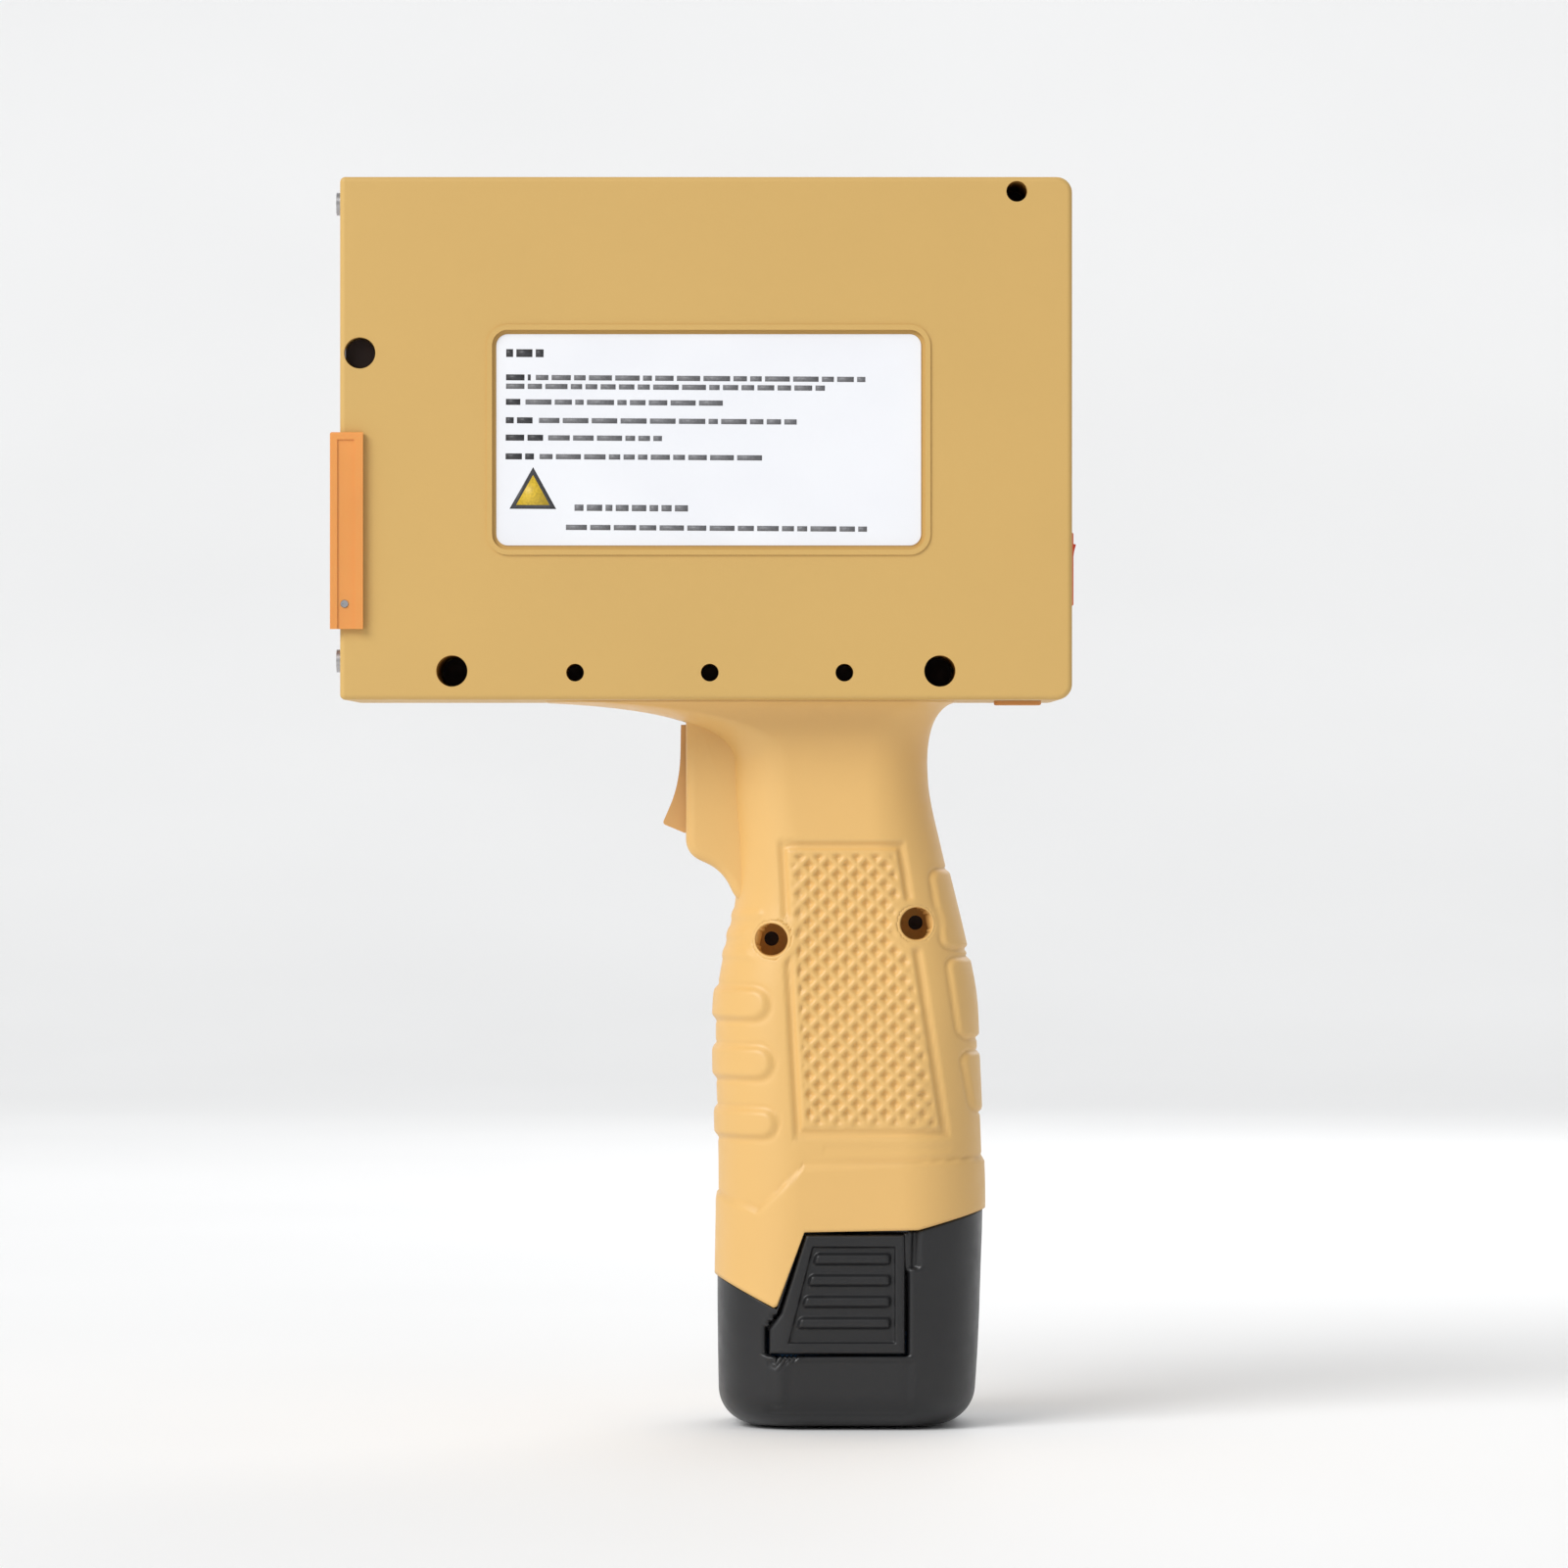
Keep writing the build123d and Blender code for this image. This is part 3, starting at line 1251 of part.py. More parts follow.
with BuildPart() as battery_case:
    add(foot_form.part)
    below_joint(split_gap, Mode.INTERSECT)
    add(foot_hollow.part, mode=Mode.SUBTRACT)
    with BuildSketch(across(house_thickness)):
        latch_outline(latch_window_gap)
    extrude(amount=2 * house_thickness, mode=Mode.SUBTRACT)

battery_case.part.label = "battery_case"
export_step(battery_case.part, "parts/battery_case.step")

with BuildPart() as battery_stem:
    with BuildSketch(Plane.XY.offset(deck_z[0])):
        with Locations((stem_mid_x, 0)):
            RectangleRounded(2 * stem_half_x, 2 * stem_half_y, stem_corner)
    extrude(amount=stem_top_z - deck_z[0])
    with BuildSketch(Plane.XY.offset(deck_z[0])):
        with Locations(((foot_sections[1][1] + foot_sections[1][2]) / 2, 0)):
            RectangleRounded(foot_sections[1][2] - foot_sections[1][1] - 2 * grip_wall - 0.3,
                             2 * (foot_sections[1][3] - grip_wall) - 0.3, foot_sections[1][4] - grip_wall)
        for side in (-1, 1):
            with Locations(((latch_front_x + latch_back_x) / 2, side * (stem_half_y - fit_gap + 5.0))):
                Rectangle(latch_back_x - latch_front_x + 3.0, 10.0, mode=Mode.SUBTRACT)
    extrude(amount=deck_z[1] - deck_z[0])
    with BuildSketch(Plane.XY.offset(deck_z[0])):
        with Locations((stem_mid_x, 0)):
            RectangleRounded(2 * (stem_half_x - stem_wall), 2 * (stem_half_y - stem_wall),
                             stem_corner - stem_wall)
    extrude(amount=stem_top_z - 1.3 - deck_z[0], mode=Mode.SUBTRACT)
    for side in (-1, 1):
        wall_y = sorted((side * (stem_half_y - stem_wall - 0.1), side * (stem_half_y + 1.0)))
        box_between(stem_mid_x - latch_arm_half - 0.5, stem_mid_x + latch_arm_half + 0.5, wall_y[0],
                    wall_y[1], rib_top_z - 4.5, latch_arm_top + 1.5, mode=Mode.SUBTRACT)

battery_stem.part.label = "battery_stem"
export_step(battery_stem.part, "parts/battery_stem.step")

with BuildPart() as battery_cells:
    with BuildSketch(Plane.XY.offset(cell_z)):
        with Locations(*cell_sites):
            Circle(cell_radius)
    extrude(amount=cell_length)
    fillet(edges().filter_by(GeomType.CIRCLE), 0.8)

battery_cells.part.label = "battery_cells"
export_step(battery_cells.part, "parts/battery_cells.step")

with BuildPart() as cell_tabs:
    for z in (cell_z - tab_thickness, cell_z + cell_length):
        with BuildSketch(Plane.XY.offset(z)):
            with Locations((stem_mid_x, cell_sites[0][1])):
                Rectangle(24.0, 6.0)
            with Locations(cell_sites[2]):
                Rectangle(8.0, 6.0)
        extrude(amount=tab_thickness)

cell_tabs.part.label = "cell_tabs"
export_step(cell_tabs.part, "parts/cell_tabs.step")

with BuildPart() as pack_board:
    with BuildSketch(Plane.XY.offset(cell_z + cell_length + tab_thickness + 0.1)):
        with Locations((stem_mid_x, 0)):
            RectangleRounded(35.0, 32.0, 7.0)
    extrude(amount=1.0)

pack_board.part.label = "pack_board"
export_step(pack_board.part, "parts/pack_board.step")

with BuildPart() as battery_terminals:
    with BuildSketch(Plane.XY.offset(stem_top_z)):
        for x in terminal_sites:
            with Locations((stem_mid_x + x, 0)):
                RectangleRounded(5.0, 8.0, 1.0)
    extrude(amount=terminal_thickness)

battery_terminals.part.label = "battery_terminals"
export_step(battery_terminals.part, "parts/battery_terminals.step")

# The field round the ribs of the latch buttons, sunk below the outer form on both sides
with BuildPart() as latch_field:
    add(foot_form.part)
    grip_form(latch_groove, Mode.SUBTRACT)
    with BuildSketch(across(house_thickness)):
        latch_pocket()
        with BuildSketch(mode=Mode.SUBTRACT):
            latch_pocket(rib_gap)
            with Locations(*[(28.0, rib_top_z - rib_height / 2 - row * rib_pitch) for row in range(rib_count)]):
                Rectangle(30.0, rib_height, mode=Mode.INTERSECT)
    extrude(amount=2 * house_thickness, mode=Mode.INTERSECT)

with BuildPart() as latch_pair:
    add(foot_form.part)
    grip_form(latch_plate, Mode.SUBTRACT)
    with BuildSketch(across(house_thickness)):
        latch_outline()
    extrude(amount=2 * house_thickness, mode=Mode.INTERSECT)
    add(latch_field.part, mode=Mode.SUBTRACT)
    # tongue that holds the pack from behind the grip's wall
    plate_y = foot_sections[2][3] - latch_plate
    for side in (-1, 1):
        root_y = sorted((side * (plate_y + 0.2), side * (stem_half_y + 0.6)))
        arm_y = sorted((side * (foot_sections[2][3] - grip_wall - fit_gap), side * (stem_half_y + 0.6)))
        box_between(stem_mid_x - latch_arm_half, stem_mid_x + latch_arm_half, root_y[0], root_y[1],
                    rib_top_z - 2.5, rib_top_z + 2.0)
        box_between(stem_mid_x - latch_arm_half, stem_mid_x + latch_arm_half, arm_y[0], arm_y[1],
                    rib_top_z - 2.5, latch_arm_top)

with BuildPart() as latch_label_side:
    add(latch_pair.part)
    split(bisect_by=Plane.XZ, keep=Keep.TOP)

latch_label_side.part.label = "latch_label_side"
export_step(latch_label_side.part, "parts/latch_label_side.step")

with BuildPart() as latch_screen_side:
    add(latch_pair.part)
    split(bisect_by=Plane.XZ, keep=Keep.BOTTOM)

latch_screen_side.part.label = "latch_screen_side"
export_step(latch_screen_side.part, "parts/latch_screen_side.step")

latch_spring_radius = 1.8
latch_spring_wire = 0.2
latch_spring_z = 25.0
latch_spring_y = (stem_half_y + 0.1 + latch_spring_wire, plate_y - 0.1 - latch_spring_wire)


def latch_spring(side):
    """Coil spring along Y between the stem and a latch button."""
    with BuildLine() as line:
        turns = Helix(pitch=(latch_spring_y[1] - latch_spring_y[0]) / 3,
                      height=latch_spring_y[1] - latch_spring_y[0], radius=latch_spring_radius,
                      center=(stem_mid_x, side * latch_spring_y[0], latch_spring_z),
                      direction=(0, side, 0))
    with BuildSketch(Plane(origin=turns @ 0, z_dir=turns % 0)) as wire:
        Circle(latch_spring_wire)
    sweep(wire.sketch, path=line.line)


with BuildPart() as latch_spring_label_side:
    latch_spring(-1)

latch_spring_label_side.part.label = "latch_spring_label_side"
export_step(latch_spring_label_side.part, "parts/latch_spring_label_side.step")

with BuildPart() as latch_spring_screen_side:
    latch_spring(1)

latch_spring_screen_side.part.label = "latch_spring_screen_side"
export_step(latch_spring_screen_side.part, "parts/latch_spring_screen_side.step")
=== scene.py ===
import math
import bpy
import numpy as np
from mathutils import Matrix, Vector


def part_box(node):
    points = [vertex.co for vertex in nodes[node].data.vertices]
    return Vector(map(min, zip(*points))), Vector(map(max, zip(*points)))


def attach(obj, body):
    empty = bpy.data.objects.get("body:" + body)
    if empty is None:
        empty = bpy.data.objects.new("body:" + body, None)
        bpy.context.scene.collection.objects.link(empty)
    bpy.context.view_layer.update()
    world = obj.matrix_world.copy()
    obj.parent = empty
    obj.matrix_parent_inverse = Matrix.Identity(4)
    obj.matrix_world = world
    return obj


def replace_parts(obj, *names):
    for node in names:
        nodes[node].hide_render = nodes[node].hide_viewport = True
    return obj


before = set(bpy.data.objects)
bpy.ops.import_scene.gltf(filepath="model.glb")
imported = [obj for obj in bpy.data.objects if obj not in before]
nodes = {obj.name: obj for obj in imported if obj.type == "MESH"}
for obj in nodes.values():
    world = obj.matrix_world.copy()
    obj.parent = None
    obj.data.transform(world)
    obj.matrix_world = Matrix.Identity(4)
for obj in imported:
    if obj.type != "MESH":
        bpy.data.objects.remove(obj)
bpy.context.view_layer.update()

mm = 0.001


# materials

def newMaterial(name):
    # a node material, its tree and its main shader
    mat = bpy.data.materials.new(name)
    mat.use_nodes = True
    return mat, mat.node_tree, mat.node_tree.nodes["Principled BSDF"]


def objectNoise(tree, scale, detail=3.0, rough=0.55, stretch=(1, 1, 1)):
    # noise read at object coordinates, optionally stretched along an axis
    coord = tree.nodes.new("ShaderNodeTexCoord")
    mapping = tree.nodes.new("ShaderNodeMapping")
    mapping.inputs["Scale"].default_value = stretch
    noise = tree.nodes.new("ShaderNodeTexNoise")
    noise.inputs["Scale"].default_value = scale
    noise.inputs["Detail"].default_value = detail
    noise.inputs["Roughness"].default_value = rough
    tree.links.new(coord.outputs["Object"], mapping.inputs["Vector"])
    tree.links.new(mapping.outputs["Vector"], noise.inputs["Vector"])
    return noise


def ramp(tree, source, low, high, start=0.3, end=0.7):
    # two colours blended by a source between its start and end
    node = tree.nodes.new("ShaderNodeValToRGB")
    node.color_ramp.elements[0].position = start
    node.color_ramp.elements[1].position = end
    node.color_ramp.elements[0].color = (*low, 1)
    node.color_ramp.elements[1].color = (*high, 1)
    tree.links.new(source, node.inputs["Fac"])
    return node


def shade(colour, factor):
    # each channel becomes the lesser of 1 and channel x factor
    return tuple(min(1.0, c * factor) for c in colour)


def mouldedPlastic(name, look):
    # moulded plastic: slow tint drift, spark-eroded grain in the bump, roughness that varies a little
    mat, tree, bsdf = newMaterial(name)
    drift = objectNoise(tree, look["driftScale"], 2.0)
    tint = ramp(tree, drift.outputs["Fac"], shade(look["colour"], 1 - look["drift"]),
                shade(look["colour"], 1 + look["drift"]))
    tree.links.new(tint.outputs["Color"], bsdf.inputs["Base Color"])
    patch = objectNoise(tree, look["grainScale"] * 0.12, 4.0)
    gloss = ramp(tree, patch.outputs["Fac"], (look["rough"] - 0.05,) * 3, (look["rough"] + 0.06,) * 3)
    tree.links.new(gloss.outputs["Color"], bsdf.inputs["Roughness"])
    grain = objectNoise(tree, look["grainScale"], 2.0, 0.6)
    bump = tree.nodes.new("ShaderNodeBump")
    bump.inputs["Strength"].default_value = look["grain"]
    bump.inputs["Distance"].default_value = 0.00006
    tree.links.new(grain.outputs["Fac"], bump.inputs["Height"])
    tree.links.new(bump.outputs["Normal"], bsdf.inputs["Normal"])
    bsdf.inputs["Specular IOR Level"].default_value = look.get("specular", 0.5)
    if look.get("glow"):
        bsdf.inputs["Subsurface Weight"].default_value = look["glow"]
        bsdf.inputs["Subsurface Radius"].default_value = (0.004, 0.002, 0.001)
        bsdf.inputs["Subsurface Scale"].default_value = 0.3
    return mat


def metal(name, look):
    # metal with drawn or turned marks: noise stretched along one axis drives roughness and bump
    mat, tree, bsdf = newMaterial(name)
    marks = objectNoise(tree, look["markScale"], 4.0, 0.6, look["stretch"])
    gloss = ramp(tree, marks.outputs["Fac"], (look["rough"] - 0.08,) * 3, (look["rough"] + 0.12,) * 3)
    tree.links.new(gloss.outputs["Color"], bsdf.inputs["Roughness"])
    tint = ramp(tree, marks.outputs["Fac"], shade(look["colour"], 0.9), look["colour"])
    tree.links.new(tint.outputs["Color"], bsdf.inputs["Base Color"])
    bump = tree.nodes.new("ShaderNodeBump")
    bump.inputs["Strength"].default_value = 0.12
    bump.inputs["Distance"].default_value = 0.00004
    tree.links.new(marks.outputs["Fac"], bump.inputs["Height"])
    tree.links.new(bump.outputs["Normal"], bsdf.inputs["Normal"])
    bsdf.inputs["Metallic"].default_value = 1.0
    return mat


plasticLooks = {
    "housingOchre": {"colour": (0.61, 0.385, 0.118), "drift": 0.02, "driftScale": 18, "grainScale": 2600,
                     "grain": 0.22, "rough": 0.52},
    "gripSand": {"colour": (0.74, 0.455, 0.155), "drift": 0.02, "driftScale": 25, "grainScale": 2600,
                 "grain": 0.16, "rough": 0.43},
    "triggerAmber": {"colour": (0.68, 0.39, 0.14), "drift": 0.03, "driftScale": 60, "grainScale": 2800,
                     "grain": 0.14, "rough": 0.4},
    "doorOrange": {"colour": (0.76, 0.31, 0.075), "drift": 0.03, "driftScale": 60, "grainScale": 2400,
                   "grain": 0.12, "rough": 0.38, "glow": 0.15},
    "packBlack": {"colour": (0.011, 0.011, 0.012), "drift": 0.12, "driftScale": 40, "grainScale": 2300,
                  "grain": 0.25, "rough": 0.36},
    "latchBlack": {"colour": (0.009, 0.009, 0.010), "drift": 0.1, "driftScale": 50, "grainScale": 2500,
                   "grain": 0.2, "rough": 0.42},
    "cartridgeBlack": {"colour": (0.02, 0.02, 0.022), "drift": 0.1, "driftScale": 40, "grainScale": 1800,
                       "grain": 0.25, "rough": 0.5},
    "cradleGrey": {"colour": (0.09, 0.09, 0.095), "drift": 0.06, "driftScale": 40, "grainScale": 2000,
                   "grain": 0.2, "rough": 0.55},
    "switchBlack": {"colour": (0.02, 0.02, 0.02), "drift": 0.1, "driftScale": 80, "grainScale": 2600,
                    "grain": 0.14, "rough": 0.34},
    "rockerRed": {"colour": (0.72, 0.05, 0.012), "drift": 0.05, "driftScale": 90, "grainScale": 1500,
                  "grain": 0.05, "rough": 0.22, "glow": 0.2},
    "bezelOrange": {"colour": (0.76, 0.13, 0.03), "drift": 0.05, "driftScale": 90, "grainScale": 1500,
                    "grain": 0.06, "rough": 0.3, "glow": 0.1},
    "lensMilk": {"colour": (0.62, 0.72, 0.6), "drift": 0.03, "driftScale": 90, "grainScale": 1500,
                 "grain": 0.04, "rough": 0.2, "glow": 0.5},
    "plugRubber": {"colour": (0.6, 0.27, 0.085), "drift": 0.05, "driftScale": 90, "grainScale": 3000,
                   "grain": 0.3, "rough": 0.66, "specular": 0.3},
    "tyreRubber": {"colour": (0.02, 0.02, 0.02), "drift": 0.15, "driftScale": 200, "grainScale": 1500,
                   "grain": 0.5, "rough": 0.75, "specular": 0.3},
    "boardGreen": {"colour": (0.02, 0.11, 0.04), "drift": 0.1, "driftScale": 150, "grainScale": 900,
                   "grain": 0.2, "rough": 0.4},
    "chipBlack": {"colour": (0.015, 0.015, 0.016), "drift": 0.1, "driftScale": 200, "grainScale": 3000,
                  "grain": 0.3, "rough": 0.55},
    "displayDark": {"colour": (0.01, 0.012, 0.016), "drift": 0.1, "driftScale": 20, "grainScale": 900,
                    "grain": 0.03, "rough": 0.2},
    "leadRed": {"colour": (0.45, 0.02, 0.015), "drift": 0.05, "driftScale": 90, "grainScale": 1500,
                "grain": 0.1, "rough": 0.45},
    "cellSleeve": {"colour": (0.03, 0.11, 0.24), "drift": 0.04, "driftScale": 60, "grainScale": 900,
                   "grain": 0.1, "rough": 0.35},
}
metalLooks = {
    "screwSteel": {"colour": (0.5, 0.5, 0.51), "rough": 0.32, "markScale": 900, "stretch": (1, 1, 1)},
    "screwBlack": {"colour": (0.03, 0.022, 0.02), "rough": 0.45, "markScale": 900, "stretch": (1, 1, 1)},
    "plateAluminium": {"colour": (0.62, 0.62, 0.64), "rough": 0.34, "markScale": 260,
                       "stretch": (1, 1, 22)},
    "contactBrass": {"colour": (0.72, 0.5, 0.2), "rough": 0.28, "markScale": 700, "stretch": (1, 1, 1)},
    "coilFerrite": {"colour": (0.07, 0.07, 0.075), "rough": 0.5, "markScale": 600, "stretch": (1, 1, 1)},
}
paints = {name: mouldedPlastic(name, look) for name, look in plasticLooks.items()}
paints.update({name: metal(name, look) for name, look in metalLooks.items()})


def glassPaint():
    # dark cover glass: black backing under a clear glossy coat with faint wipe marks
    mat, tree, bsdf = newMaterial("coverGlass")
    smear = objectNoise(tree, 35, 4.0, 0.6, (1, 1, 2.5))
    gloss = ramp(tree, smear.outputs["Fac"], (0.04,) * 3, (0.13,) * 3, 0.35, 0.8)
    tree.links.new(gloss.outputs["Color"], bsdf.inputs["Roughness"])
    tint = ramp(tree, smear.outputs["Fac"], (0.006, 0.007, 0.009), (0.010, 0.011, 0.014))
    tree.links.new(tint.outputs["Color"], bsdf.inputs["Base Color"])
    bsdf.inputs["Coat Weight"].default_value = 0.6
    bsdf.inputs["Coat Roughness"].default_value = 0.03
    return mat


paints["coverGlass"] = glassPaint()
nodePaint = {
    "housingOchre": ["label_side_shell", "screen_side_shell"],
    "gripSand": ["grip_label_side", "grip_screen_side"],
    "coverGlass": ["touch_glass"],
    "displayDark": ["lcd_module"],
    "boardGreen": ["main_board", "power_board", "encoder_sensor", "pack_board"],
    "chipBlack": ["board_chips"],
    "coilFerrite": ["booster_coil"],
    "cellSleeve": ["capacitors", "battery_cells"],
    "screwBlack": ["case_screws", "flange_screws", "cradle_screw", "grip_screws"],
    "screwSteel": ["board_screws", "power_screws", "plate_screws", "door_pins", "encoder_axle",
                   "encoder_magnet", "trigger_pin", "trigger_spring", "cell_tabs",
                   "latch_spring_label_side", "latch_spring_screen_side"],
    "cartridgeBlack": ["ink_cartridge"],
    "contactBrass": ["nozzle_plate", "cartridge_contacts", "contact_pins", "battery_contacts",
                     "battery_terminals"],
    "cradleGrey": ["cartridge_cradle", "contact_block", "encoder_bracket", "battery_contact_block",
                   "encoder_hub"],
    "plateAluminium": ["front_plate"],
    "doorOrange": ["cartridge_door"],
    "tyreRubber": ["encoder_tyre"],
    "switchBlack": ["charging_socket", "trigger_switch"],
    "bezelOrange": ["switch_body"],
    "rockerRed": ["rocker", "switch_plunger"],
    "lensMilk": ["charge_light"],
    "plugRubber": ["dust_plug"],
    "triggerAmber": ["trigger"],
    "leadRed": ["battery_leads"],
    "packBlack": ["battery_case", "battery_stem"],
    "latchBlack": ["latch_label_side", "latch_screen_side"],
}
for paint, names in nodePaint.items():
    for name in names:
        mesh = nodes[name].data
        mesh.materials.clear()
        mesh.materials.append(paints[paint])
print("materials ready")


# meshes

def meshPiece(name, points, quads, body, paint, tris=None):
    # a smooth shaded piece from point and face arrays, riding one body and painted with one paint
    mesh = bpy.data.meshes.new(name)
    faces = [quads] if tris is None else [quads, tris]
    sizes = np.concatenate([np.full(len(f), f.shape[1], dtype=np.int32) for f in faces])
    corners = np.concatenate([f.ravel() for f in faces]).astype(np.int32)
    mesh.vertices.add(len(points))
    mesh.vertices.foreach_set("co", np.ascontiguousarray(points, dtype=np.float32).ravel())
    mesh.loops.add(len(corners))
    mesh.loops.foreach_set("vertex_index", corners)
    mesh.polygons.add(len(sizes))
    mesh.polygons.foreach_set("loop_start", np.concatenate(([0], np.cumsum(sizes)[:-1])).astype(np.int32))
    mesh.polygons.foreach_set("loop_total", sizes)
    mesh.polygons.foreach_set("use_smooth", np.ones(len(sizes), dtype=bool))
    mesh.update(calc_edges=True)
    mesh.validate()
    mesh.materials.append(paints[paint])
    obj = bpy.data.objects.new(name, mesh)
    bpy.context.scene.collection.objects.link(obj)
    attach(obj, body)
    return obj


def gridQuads(rows, cols, closed=False):
    # quads of a rows x cols grid, joined round the columns where it is closed
    r = np.arange(rows - 1)[:, None]
    c = np.arange(cols if closed else cols - 1)[None, :]
    a = r * cols + c
    b = r * cols + (c + 1) % cols
    return np.stack([a, b, b + cols, a + cols], axis=-1).reshape(-1, 4)


def thicken(piece, wall):
    # gives an open skin its wall: each point is carried inwards by the wall's thickness
    shell = piece.modifiers.new("wall", "SOLIDIFY")
    shell.thickness = wall * mm
    shell.offset = -1
    return piece


def smoothStep(a, b, t):
    # 3k^2 - 2k^3, where k runs from 0 at a to 1 at b
    k = np.clip((t - a) / (b - a), 0, 1)
    return k * k * (3 - 2 * k)


def roundBox(x, z, x0, x1, z0, z1, radius):
    # signed distance to a rounded rectangle: negative inside, positive outside
    qx = np.abs(x - (x0 + x1) / 2) - (x1 - x0) / 2 + radius
    qz = np.abs(z - (z0 + z1) / 2) - (z1 - z0) / 2 + radius
    return np.hypot(np.maximum(qx, 0), np.maximum(qz, 0)) + np.minimum(np.maximum(qx, qz), 0) - radius


def polyDistance(x, z, corners):
    # signed distance to a convex outline given anticlockwise in X and Z, mitred at its corners
    reach = np.full(np.shape(x), -1e9)
    for (ax, az), (bx, bz) in zip(corners, corners[1:] + corners[:1]):
        size = math.hypot(bx - ax, bz - az)
        reach = np.maximum(reach, ((bz - az) * (x - ax) - (bx - ax) * (z - az)) / size)
    return reach


# grip form

gripForm = {  # mm: height, front X, back X, half width, corner radius
    "sections": [(0, 2.8, 51.8, 22.4, 15), (14, 2.5, 52.8, 23, 15.5), (29, 2.4, 53.4, 23.2, 16),
                 (44, 2.6, 53.8, 23.2, 16), (57, 2.5, 53.4, 22.8, 15.5), (71, 2.1, 52.8, 22, 15),
                 (84, 2.4, 52.1, 20.9, 14.5), (93, 4, 50.3, 20, 14), (101, 5.8, 48.4, 19.3, 13.5),
                 (112, 5.6, 45.7, 18.5, 13), (123, 4.9, 43.4, 18, 12), (132, 4.8, 43, 18, 11.5)],
    "neckTop": 128.0,
    "flangeZ": 139.75, "flangeX": (-31.0, 48.4), "flangeHalf": 21.0, "flangeCorner": 9.0,
    "flareBendDrop": 1.6, "flareRows": 26, "columns": [10, 46, 66, 46, 12], "rows": [36, 140, 20],
    "reliefFade": (114, 118), "wellPlain": (4.3, 5.5), "jointFade": 0.6, "startX": 25.0, "rounds": 5,
    "slotCut": {"low": 113, "high": 136.5, "half": 6.3, "back": 12},  # opening that the trigger is in
    "split": [(-4, 36), (2.4, 29.2), (13.8, 23.2), (19.2, 37.9), (41, 38.3), (53.8, 41.9), (62, 47)],
    "wall": 2.2,
}


def smoothTable(table, z):
    # every column of the table at heights z; between two stations A and B, h apart, with slopes a and b
    # P = (2k^3 - 3k^2 + 1) A + (k^3 - 2k^2 + k) h a + (3k^2 - 2k^3) B + (k^3 - k^2) h b
    t = np.array(table, dtype=float)
    zs, vals = t[:, 0], t[:, 1:]
    slopes = np.gradient(vals, zs, axis=0)
    i = np.clip(np.searchsorted(zs, z) - 1, 0, len(zs) - 2)
    h = (zs[i + 1] - zs[i])[..., None]
    k = ((z - zs[i])[..., None]) / h
    k = np.clip(k, 0, 1)
    return ((2 * k**3 - 3 * k**2 + 1) * vals[i] + (k**3 - 2 * k**2 + k) * h * slopes[i]
            + (3 * k**2 - 2 * k**3) * vals[i + 1] + (k**3 - k**2) * h * slopes[i + 1])


def sectionPoint(u, frontX, backX, halfY, radius, depth=0.0):
    # half of a rounded rectangle drawn in by depth, walked from its front middle to its back middle:
    # u 0..1 front flat, 1..2 corner arc, 2..3 side flat, 3..4 corner arc, 4..5 back flat; Y is positive
    r = np.maximum(radius - depth, 0.4)
    fx, bx, hy = frontX + depth, backX - depth, halfY - depth
    k = u - np.clip(np.floor(u), 0, 4)
    part = np.clip(np.floor(u), 0, 4)
    arcA = (fx + r - r * np.cos(k * math.pi / 2), hy - r + r * np.sin(k * math.pi / 2))
    arcB = (bx - r + r * np.sin(k * math.pi / 2), hy - r + r * np.cos(k * math.pi / 2))
    x = np.select([part == 0, part == 1, part == 2, part == 3], [fx + 0 * k, arcA[0],
                  (fx + r) + (bx - fx - 2 * r) * k, arcB[0]], bx + 0 * k)
    y = np.select([part == 0, part == 1, part == 2, part == 3], [(hy - r) * k, arcA[1], hy + 0 * k,
                  arcB[1]], (hy - r) * (1 - k))
    return x, y


def splitHeight(x):
    # height of the line where grip and battery pack meet, at each X
    line = np.array(gripForm["split"], dtype=float)
    return np.interp(x, line[:, 0], line[:, 1])


# grip relief, in mm proud of the form

gripRelief = {
    "panel": [(14.2, 112.7), (17.4, 56.1), (47.2, 56.1), (38.4, 112.7)],
    "panelGroove": 0.7, "panelGrooveWidth": 1.4,
    "diamondPitch": 3.67, "diamondDepth": 0.85, "diamondInset": 2.5,
    "pads": [(12.1, 78.7, 84.4), (12.9, 67.4, 73.1), (13.6, 56.1, 61.1)], "padProud": 0.75,
    "ridges": [(10.6, 90.2, 92.2), (10.8, 94.0, 96.0), (11.2, 97.8, 99.6)], "ridgeProud": 0.3,
    "straps": [((43.7, 107), (46.2, 92.4)), ((47, 90), (49.2, 75.2)), ((49.7, 71.8), (51.8, 60.8))],
    "strapProud": 0.5,
    "step": [(-20, 49), (2.9, 44.3), (10.4, 41.8), (19, 50.3), (50.5, 51.4), (70, 51.4)],
    "stepProud": 0.55, "grooveZ": 53.9, "grooveX": (23, 47), "grooveDeep": 0.18,
    # each edge rises between these two distances from its outline; a crease is (place, depth, width)
    "padEdge": (0.55, -0.75), "ridgeEdge": (0.5, -0.7), "strapEdge": (0.45, -0.45),
    "stepEdge": (-0.35, 0.35), "pitEdge": (0.12, 0.86), "grooveEdge": (0.1, 0.7), "strapRound": 1.6,
    "padCrease": (0.8, 0.16, 0.35), "strapCrease": (0.55, 0.3, 0.3), "stepCrease": (-0.45, 0.28, 0.28),
    "channelEdge": (0.25, 0.75), "insetEdge": (0.4, -0.5), "endRound": 0.05,
    "padFront": -40,  # the pads run on round the front
}


